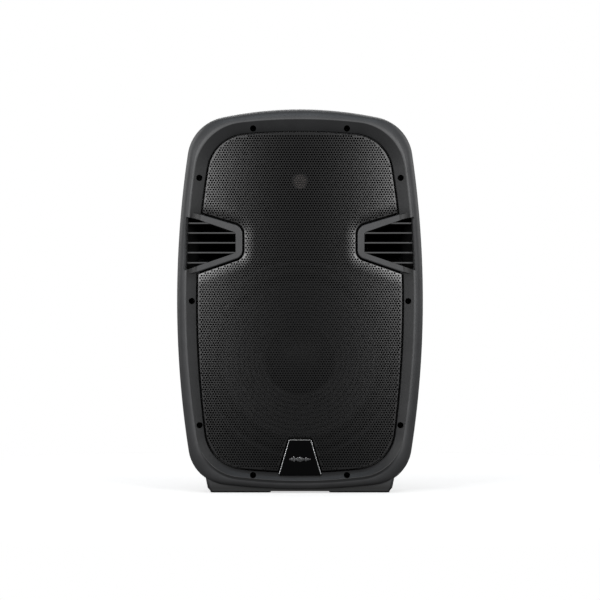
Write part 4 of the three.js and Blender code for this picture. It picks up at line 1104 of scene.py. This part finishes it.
def side_pocket(side, growth, roll):
    """Cutter for a side grip pocket, at (depth, height)."""
    corners = grown(rectangle(203, SIDE_GRIP_Z, 33, 62, 16), growth)

    def surface(points, inward):
        x = [side_at(rear_outline(depth), z) - inward for depth, z in points]
        return np.column_stack([side * np.array(x), points[:, 0] - HALF_DEPTH, points[:, 1]])

    def floor(points, rise):
        level = np.full(len(points), side * (150 - growth + rise))
        return np.column_stack([level, points[:, 0] - HALF_DEPTH, points[:, 1]])

    return pocket(corners, roll, surface, floor)


def top_pocket(growth, roll):
    """Cutter for the top grip pocket, at (x, depth)."""
    corners = grown(rectangle(0, TOP_GRIP_DEPTH, 75, 36, 16), growth)

    def surface(points, inward):
        z = [reach_at(rear_outline(depth), x, 1) - inward for x, depth in points]
        return np.column_stack([points[:, 0], points[:, 1] - HALF_DEPTH, z])

    return pocket(corners, roll, surface, lambda points, rise: ring(points, 614 - growth + rise, "z"))


def rear_shell():
    seam_edge = ((0.9, SEAM + 0.2), (0.1, SEAM + 1.0))
    seam = [ring(outline_points(rear_outline(SEAM) - edge), depth) for edge, depth in seam_edge]
    walls = rear_rings(0, 98, REAR_CORNER)
    corner = [ring(outline_points(REAR - 15 * (1 - math.cos(t))), REAR_CORNER + 15 * math.sin(t))
              for t in np.linspace(0, math.pi / 2, 8)[1:]]
    outer = loft(seam + walls + corner)
    hollow = loft(rear_rings(4, 93, 364))
    seat = rectangle(0, PANEL_Z, 98.8, 160.8, 7)
    keep = [side_pocket(side, 4, 0) for side in (1, -1)] + [top_pocket(4, 0)]
    keep += [slab(grown(seat, 4), 348, 372, edge=0), disc_up(30, 0, 40)]
    hollow = combined(hollow, keep)
    shell = combined(outer, [plinth(SEAM + 0.4, 330)], "UNION")
    tools = [hollow, *[side_pocket(side, 0, 3) for side in (1, -1)], top_pocket(0, 3)]
    seat_levels = ((0, 353), (0, 368.2), (0.25, 369.2), (0.9, 369.8), (2.2, 370.2), (2.5, 372))
    tools.append(loft([ring(filleted(grown(seat, growth), 6), depth) for growth, depth in seat_levels]))
    tools.append(block((0, PANEL_Z, 90, 152, 4), 340, 354))
    tools += [disc_up(36.6, -2, 6), disc_up(23, -2, 60)]
    add("rear_moulding", combined(shell, tools), ABS, stands_for=["rear_shell"], weighted=True)


def disc_up(radius, low, high):
    """An upright disc about the axis of the pole cup."""
    profile = [(0, low), (radius, low), (radius, high), (0, high)]
    return lathe(profile, closed=False, axis="z", depth=POLE_DEPTH)


def handles():
    rings = []
    for x in np.linspace(-75.5, 75.5, 41):
        swell = 3.0 * max(0, (abs(x) - 55) / 20.5) ** 2.2
        corners = rectangle(TOP_GRIP_DEPTH, 657 - swell * 0.2, 12 + swell, 7.5 + swell * 0.8, 6 + swell * 0.4)
        rings.append(ring(filleted(corners, 6), x, "x"))
    add("grip_top", loft(rings), ABS, stands_for=["top_handle"])
    lean = math.atan(0.3)
    for name, side in (("left", -1), ("right", 1)):
        rings = []
        for z in np.linspace(SIDE_GRIP_Z - 62.5, SIDE_GRIP_Z + 62.5, 37):
            swell = 3.0 * max(0, (abs(z - SIDE_GRIP_Z) - 44) / 18.5) ** 2.2
            points = filleted(rectangle(0, 0, 6.5 + swell * 0.8, 11.5 + swell, 5.5 + swell * 0.4), 6)
            x = 182 + points[:, 0] * math.cos(lean) - points[:, 1] * math.sin(lean)
            depth = 203 + points[:, 0] * math.sin(lean) + points[:, 1] * math.cos(lean)
            rings.append(ring(np.column_stack([side * x, depth]), z, "z"))
        add(f"grip_{name}", loft(rings), ABS, stands_for=[f"side_handle_{name}"])


def underside():
    flange = [(18.25, 4.2), (19.2, 2.7), (35.2, 2.6), (36, 3.2), (36, 5.7), (22.5, 5.7), (22.5, 95),
              (0, 95), (0, 92), (18.25, 92)]
    cup = lathe(flange, axis="z", depth=POLE_DEPTH, steps=72)
    add("pole_cup", cup, PORT, stands_for=["pole_socket"])
    # inner and outer edge, front and back edge
    feet = {"foot_front": (52, 159, 30, 80), "foot_rear": (40, 112, 268, 318)}
    for name, (inner, outer, front, back) in feet.items():
        for tag, side in (("left", -1), ("right", 1)):
            middle = side * (inner + outer) / 2, (front + back) / 2
            corners = rectangle(*middle, (outer - inner) / 2, (back - front) / 2, 8)
            pad = slab(corners, 0, 2.55, edge=0.5, rear_edge=0, axis="z")
            add(f"{name}_pad_{tag}", pad, RUBBER, stands_for=[f"{name}_{tag}"])


# ---- amplifier panel


def text(words, x, z, size):
    """Flat printed characters on the panel that read from behind the cabinet."""
    curve = bpy.data.curves.new("print", "FONT")
    curve.body = words
    curve.size = size
    curve.align_x = "CENTER"
    curve.align_y = "CENTER"
    curve.resolution_u = 3
    holder = link_to_scene("print", curve)
    graph = bpy.context.evaluated_depsgraph_get()
    points, faces = shape_of(bpy.data.meshes.new_from_object(holder.evaluated_get(graph)))
    bpy.data.objects.remove(holder)
    y = np.full(len(points), PANEL_FACE + 0.05 - HALF_DEPTH)
    return np.column_stack([x - points[:, 0], y, z + points[:, 1]]), faces


def line(x0, z0, x1, z1, width, depth=PANEL_FACE):
    """A printed line on the panel, or on a face at some other depth."""
    a, b = np.array([x0, z0], float), np.array([x1, z1], float)
    across = np.array([-(b - a)[1], (b - a)[0]])
    across = across / np.linalg.norm(across) * width / 2
    corners = np.array([a - across, b - across, b + across, a + across])
    return loft([ring(corners, depth - 0.05), ring(corners, depth + 0.06)])


def dial_print(x, low, high):
    """Eleven ticks round a knob; the turn runs clockwise seen from behind."""
    marks = []
    for k in range(11):
        angle = math.radians(-150 + 30 * k)
        c, s = math.cos(angle), math.sin(angle)
        inner, outer = (10.4, 12.4) if k % 5 else (10.2, 13.0)
        marks.append(line(x - inner * s, KNOB_Z + inner * c, x - outer * s, KNOB_Z + outer * c, 0.45))
    marks.append(text(low, x + 9.2, KNOB_Z - 14.2, 3.4))
    marks.append(text(high, x - 9.2, KNOB_Z - 14.2, 3.4))
    return marks


def knob(name, x):
    """Fluted control knob with a pale pointer on its skirt and cap."""
    turn = np.linspace(0, 2 * math.pi, FLUTES * 6, endpoint=False)
    wave = 0.5 + 0.5 * np.cos(turn * FLUTES)
    rings = []
    for radius, rise, cut in KNOB_LEVELS:
        r = radius - cut * wave
        points = np.column_stack([x + r * np.cos(turn), KNOB_Z + r * np.sin(turn)])
        rings.append(ring(points, PANEL_FACE + rise))
    body = f"{name}_knob"
    add(f"{name}_cap", loft(rings), KNOB, body=body, stands_for=[body])
    angle = 0 if name in TONE_KNOBS else math.radians(-150)

    def at(radius):
        return x - radius * math.sin(angle), KNOB_Z + radius * math.cos(angle)

    top = line(*at(1.6), *at(6.6), 0.9, PANEL_FACE + 12.22)
    (high_x, high_z), (low_x, low_z) = at(6.9), at(7.75)
    side = rod((high_x, PANEL_FACE + 11.6, high_z), (low_x, PANEL_FACE + 3.0, low_z), 0.42, 8)
    add(f"{name}_pointer", together([top, side]), PALE, body=body)


def on_circle(x, z, radius):
    """The three contact places of a socket."""
    turns = [math.radians(degrees) for degrees in (90, 215, 325)]
    return [(x + radius * math.cos(a), z + radius * math.sin(a)) for a in turns]


def socket(name, x, male):
    """A three-pin socket: a rectangular flange, a round well, and pins if male or else holes."""
    face = PANEL_FACE + 0.3
    flange = block((x, SOCKET_Z + 0.5, 13, 16.5, 3), face, face + 1.6, rear_edge=0.5)
    bore = [disc(x, SOCKET_Z, 9.6, face - 2, face + 3, 48)]
    if not male:
        bore.append(block((x, LATCH_Z, 4.4, 1.5, 0.3), face - 1, face + 3))
    wall = [(9.6, 340), (9.6, face + 0.4), (11.7, face + 0.3), (11.7, 330), (0, 330), (0, 340)]
    shapes = [combined(flange, bore), lathe(wall, x, SOCKET_Z, 48)]
    if not male:
        plug = disc(x, SOCKET_Z, 8.3, 341, 354, 40, edge=0.5)
        holes = [disc(x, SOCKET_Z, 3.3, 345, 356, 24)]
        holes += [disc(*place, 1.35, 346, 356, 14) for place in on_circle(x, SOCKET_Z, 5.9)]
        shapes.append(combined(plug, holes))
    add(f"{name}_body", together(shapes), SATIN, stands_for=[name])
    if male:
        profile = [(0, 339), (1.2, 339), (1.2, 352.2), (0.8, 353), (0, 353.1)]
        pins = [lathe(profile, *place, 16, closed=False) for place in on_circle(x, SOCKET_Z, 4.4)]
        add(f"{name}_pins", together(pins), NICKEL)
    places = [(x - 9.8, SOCKET_Z + 12.8), (x + 9.8, SOCKET_Z - 11.8)]
    heads = [screw_head(*place, face + 2.6, radius=2.1, rear=True) for place in places]
    add(f"{name}_screws", together(heads), BLACK_STEEL)


def inlet():
    x, z = INLET
    face = PANEL_FACE + 0.3
    recess = [(x + 12, z - 15, 1.5), (x + 12, z, 1.5), (x + 8, z + 4.5, 1.5), (x - 8, z + 4.5, 1.5),
              (x - 12, z, 1.5), (x - 12, z - 15, 1.5)]
    drawer = rectangle(x, z + 14, 11.5, 4.5, 0.6)
    flange = block((x, z, 18, 25, 3), face, face + 2, rear_edge=0.6)
    barrel = block((x, z, 15, 22, 1), 328, face + 1)
    hollows = [slab(recess, 342, face + 4, edge=0), slab(drawer, 332, face + 4, edge=0)]
    body = combined(combined(flange, [barrel], "UNION"), hollows)
    add("inlet_body", body, SATIN, stands_for=["mains_inlet"])
    pins = [block((x + across, z - drop, 1, 2, 0.3), 341, 354, edge=0.3)
            for across, drop in ((-6, 8), (0, 3), (6, 8))]
    add("inlet_pins", together(pins), NICKEL)
    tray = slab(grown(drawer, -0.4), 333, 359.8, edge=0, rear_edge=0.5)
    groove = block((x, z + 16.6, 5, 0.9, 0.2), 358.9, 361)
    add("fuse_tray", combined(tray, [groove]), SATIN, body="fuse_drawer", stands_for=["fuse_drawer"])


def rocker():
    """Frame and rocker of the mains switch, the rocker tilted as it is at rest."""
    x, z = ROCKER
    face = PANEL_FACE + 0.3
    flange = block((x, z, 13, 16, 2), face, face + 1.8, rear_edge=0.6)
    barrel = block((x, z, 10.6, 13.6, 1), 336, face + 1)
    well = block((x, z, 9.4, 12.4, 0.6), 341, 362)
    body = combined(combined(flange, [barrel], "UNION"), [well])
    add("switch_frame", body, SATIN, stands_for=["power_switch_frame"])

    def turned(along, rise):
        """Depth and height of a place on the rocker, given along it and above its axis."""
        c, s = math.cos(ROCKER_TILT), math.sin(ROCKER_TILT)
        return 353 + rise * c - along * s, z + along * c + rise * s

    def crown(along):
        return 3.4 + 1.2 * math.sin(math.pi * min(abs(along) / ROCKER_HALF, 1))

    top = [(a, crown(a) - 0.5 * (abs(a) / ROCKER_HALF) ** 6) for a in np.linspace(11.0, -11.0, 23)]
    low, high = -ROCKER_HALF, ROCKER_HALF
    section = [(low, -5), (high, -5), (high, 2.6), *top, (low, 2.6)]
    section = np.array([turned(*place) for place in section])[::-1]
    middle = section.mean(0)
    ends = ((0.95, -8.9), (0.985, -8.6), (1, -8.2), (1, 8.2), (0.985, 8.6), (0.95, 8.9))
    rings = [ring(middle + (section - middle) * scale, x + across, "x") for scale, across in ends]
    add("rocker_cap", loft(rings), ROCKER_GLOSS, body="power_rocker", stands_for=["power_rocker"])

    marks = []
    circle = [(1.9 * math.cos(t), -6.2 + 1.9 * math.sin(t)) for t in np.linspace(0, 2 * math.pi, 21)]
    for mark in (circle, [(0, 4.4), (0, 6.2), (0, 8.0)]):
        places = []
        for across, along in mark:
            depth, height = turned(along, crown(along))
            places.append((x + across, depth, height))
        marks += [rod(start, stop, 0.28, 6) for start, stop in zip(places, places[1:])]
    add("rocker_marks", together(marks), PALE, body="power_rocker")


def panel_print():
    """Dials, input numbers, frame lines, an arrow over the output and a mark under the slider."""
    prints = []
    for name, x in KNOBS.items():
        prints += dial_print(x, *(("-", "+") if name in TONE_KNOBS else ("0", "10")))
    prints += [line(x - 5, KNOB_Z + 17.5, x + 5, KNOB_Z + 17.5, 0.5) for x in KNOBS.values()]
    prints += [text(str(k), x, SOCKET_Z - 20.5, 4) for k, x in INPUTS.items()]
    prints += [line(*ends, 0.4) for ends in FRAME_LINES]
    prints += [line(56, 285.5, *stop, 0.5) for stop in ((68, 285.5), (59, 287.5), (59, 283.5))]
    prints.append(line(-2.6, 222.4, 2.6, 222.4, 0.4))
    add("panel_print", together(prints), PALE, sharp=20)


def panel():
    """The amplifier's rear plate with its openings, screws, print, lamps and small moving parts."""
    front, back = 351, 359
    plate = block((0, PANEL_Z, 98, 160, 6), 353.3, PANEL_FACE, rear_edge=0.6)
    tools = [disc(x, KNOB_Z, 3.8, front, back, 24) for x in KNOBS.values()]
    tools += [disc(x, SOCKET_Z, 12.2, front, back, 48) for x in (*INPUTS.values(), OUTPUT_X)]
    openings = [(x, LATCH_Z, 4.8, 1.9, 0.4) for x in INPUTS.values()]
    openings += [(1.75, SLIDER_Z, 4.2, 2.1, 0.6), (*INLET, 15.3, 22.3, 1), (*ROCKER, 10.9, 13.9, 1)]
    tools += [block(opening, front, back) for opening in openings]
    add("panel_plate", combined(plate, tools), PANEL, stands_for=["amp_panel"],
        weighted=True)
    places = [(x, z) for x in (-91, 91) for z in (148, 224, 300, 376, 452)] + [(0, 148), (0, 455)]
    heads = [screw_head(x, z, PANEL_FACE + 1.9, radius=3.2, rear=True) for x, z in places]
    add("panel_screws", together(heads), BLACK_STEEL)
    panel_print()

    dome = [(0, 358.3), (0.9, 358.1), (1.4, 357.4), (1.5, 356.2), (0, 356.2)]
    for tag, x, z, lens in (("power", -50, 205, GREEN), ("signal", 20, 228, GREEN), ("limit", 30, 228, RED)):
        add(f"{tag}_lamp", lathe(dome, x, z, 20, closed=False), lens)
    slider = block((0, SLIDER_Z, 2, 1.7, 0.4), 350, 359.3, rear_edge=0.4)
    add("slider_tip", slider, SATIN, body="mode_slider", stands_for=["mode_slider"])
    for k, x in INPUTS.items():
        tab = block((x, LATCH_Z, 4, 1.1, 0.4), 350, 361, rear_edge=0.5)
        body = f"latch_tab_{k}"
        add(f"latch_{k}", tab, NICKEL, body=body, stands_for=[body])


def heatsink():
    """An extruded heatsink with 16 flat-topped fins."""
    pitch = 160 / 15.5
    section = [(-80, PANEL_FACE + 0.3), (80, PANEL_FACE + 0.3)]
    for i in range(16):
        right, left = 80 - i * pitch, 80 - i * pitch - pitch / 2
        section += [(right, 368.4), (right - 0.6, 369), (left + 0.6, 369), (left, 368.4)]
        if i < 15:
            far = right - pitch
            section += [(left, 361.5), (left - 0.5, 361), (far + 0.5, 361), (far, 361.5)]
    points = np.array(section)
    fins = loft([ring(points, z, "z") for z in (350, 450)])
    add("heatsink_fins", fins, ANODISED, stands_for=["heatsink"])


def hidden_parts():
    """CAD parts that stay as they are inside the cabinet; they only take a finish."""
    finishes = {
        "woofer_basket": BLACK_STEEL, "woofer_magnet": FERRITE, "woofer_pole_plate": STEEL,
        "tweeter_pole_piece": STEEL, "tweeter_magnet": FERRITE, "tweeter_diaphragm": FOIL,
        "tweeter_rear_cover": SATIN, "amp_circuit_board": BOARD, "mains_transformer": FABRIC,
    }
    for name, finish in finishes.items():
        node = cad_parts[name]
        node.data.materials.clear()
        node.data.materials.append(finish)


# ---- stage, lights and camera


def fading_floor():
    """Pale floor paint that thins out to nothing away from the cabinet."""
    paint = material("floor_paint", (0.8, 0.8, 0.8), 0.9, shine=0)
    tree = paint.node_tree
    shader = tree.nodes["Principled BSDF"]
    shader.inputs["Emission Color"].default_value = (1, 1, 1, 1)
    shader.inputs["Emission Strength"].default_value = FLOOR_GLOW
    place = node(tree, "TexCoord").outputs["Object"]
    distance = node(tree, "VectorMath", {0: place}, operation="LENGTH").outputs["Value"]
    limits = {"From Min": 0.5, "From Max": 1.5, "To Min": 1.0, "To Max": 0.0}
    fade = node(tree, "MapRange", {"Value": distance, **limits}, interpolation_type="SMOOTHSTEP")
    tree.links.new(fade.outputs["Result"], shader.inputs["Alpha"])
    return paint


def stage():
    """Floor and white backdrop that only the camera sees, and a faint even light."""
    plate = lathe([(0, -0.4), (1600, -0.4)], axis="z", depth=HALF_DEPTH, steps=96, closed=False)
    curve = [(12000 * math.sin(t), -12000 * math.cos(t)) for t in np.linspace(0, math.pi, 25)]
    globe = lathe(curve, axis="z", depth=HALF_DEPTH, steps=48, closed=False)
    glow = bpy.data.materials.new("backdrop_white")
    glow.use_nodes = True
    glow.node_tree.nodes.clear()
    node(glow.node_tree, "OutputMaterial", {0: node(glow.node_tree, "Emission").outputs[0]})
    for name, shape, paint in (("floor", plate, fading_floor()), ("backdrop", globe, glow)):
        mesh = mesh_of(name, shape, scale=0.001)
        mesh.materials.append(paint)
        made = link_to_scene(name, mesh)
        for ray in ("diffuse", "glossy", "transmission", "volume_scatter", "shadow"):
            setattr(made, f"visible_{ray}", False)

    world = bpy.data.worlds.new("studio")
    world.use_nodes = True
    world.node_tree.nodes["Background"].inputs["Color"].default_value = (1, 1, 1, 1)
    world.node_tree.nodes["Background"].inputs["Strength"].default_value = AMBIENT
    bpy.context.scene.world = world


# name: place (m), width and height (m), power (W)
SOFTBOXES = {
    "front_left": ((-1.2, -2.9, 1.02), 0.8, 1.2, 33),
    "front_right": ((1.2, -2.9, 1.02), 0.8, 1.2, 33),
    "front_high": ((0.0, -1.9, 2.7), 2.0, 0.8, 4),
    "key_top": ((0.0, -0.4, 2.3), 1.8, 1.0, 4.0),
    "left_box": ((-2.1, -0.9, 1.0), 1.3, 1.4, 9),
    "right_box": ((2.1, -0.9, 1.0), 1.3, 1.4, 6),
    "rear_left": ((-2.4, 2.2, 1.5), 2.2, 2.2, 14),
    "rear_right": ((2.4, 2.2, 1.5), 2.2, 2.2, 12),
    "rear_high": ((0.0, 2.9, 2.0), 1.8, 1.2, 12),
    "rear_low": ((0.0, 3.1, 0.75), 0.9, 0.9, 18),
}
AMBIENT = 0.1
SKY = (0.72, 0.86, 1.0)
FLOOR_GLOW = 0.6


def lights():
    """Area lamps that all face the middle of the cabinet."""
    middle = Vector((0, 0, 0.34))
    for name, (place, width, height, power) in SOFTBOXES.items():
        lamp = bpy.data.lights.new(name, "AREA")
        lamp.shape = "RECTANGLE"
        lamp.size, lamp.size_y, lamp.energy = width, height, power
        lamp.color = SKY if name == "key_top" else (1, 1, 1)
        holder = link_to_scene(name, lamp)
        holder.location = place
        holder.rotation_euler = (middle - Vector(place)).to_track_quat("-Z", "Y").to_euler()


def camera():
    """A long lens, level with the middle of the cabinet, straight in front of it."""
    eye = bpy.data.cameras.new("camera")
    eye.sensor_width = 36
    eye.lens = 202.7
    holder = link_to_scene("camera", eye)
    holder.location = (0, -6.15, 0.3415)
    holder.rotation_euler = (math.pi / 2, 0, 0)
    bpy.context.scene.camera = holder


front_shell()
baffle()
ports()
grille()
badge()
woofer()
horn()
shell_screws()
rear_shell()
handles()
underside()
for name, x in KNOBS.items():
    knob(name, x)
for k, x in INPUTS.items():
    socket(f"input_socket_{k}", x, male=False)
socket("output_socket", OUTPUT_X, male=True)
inlet()
rocker()
panel()
heatsink()
hidden_parts()
stage()
lights()
camera()
bpy.context.scene.view_settings.view_transform = "Standard"
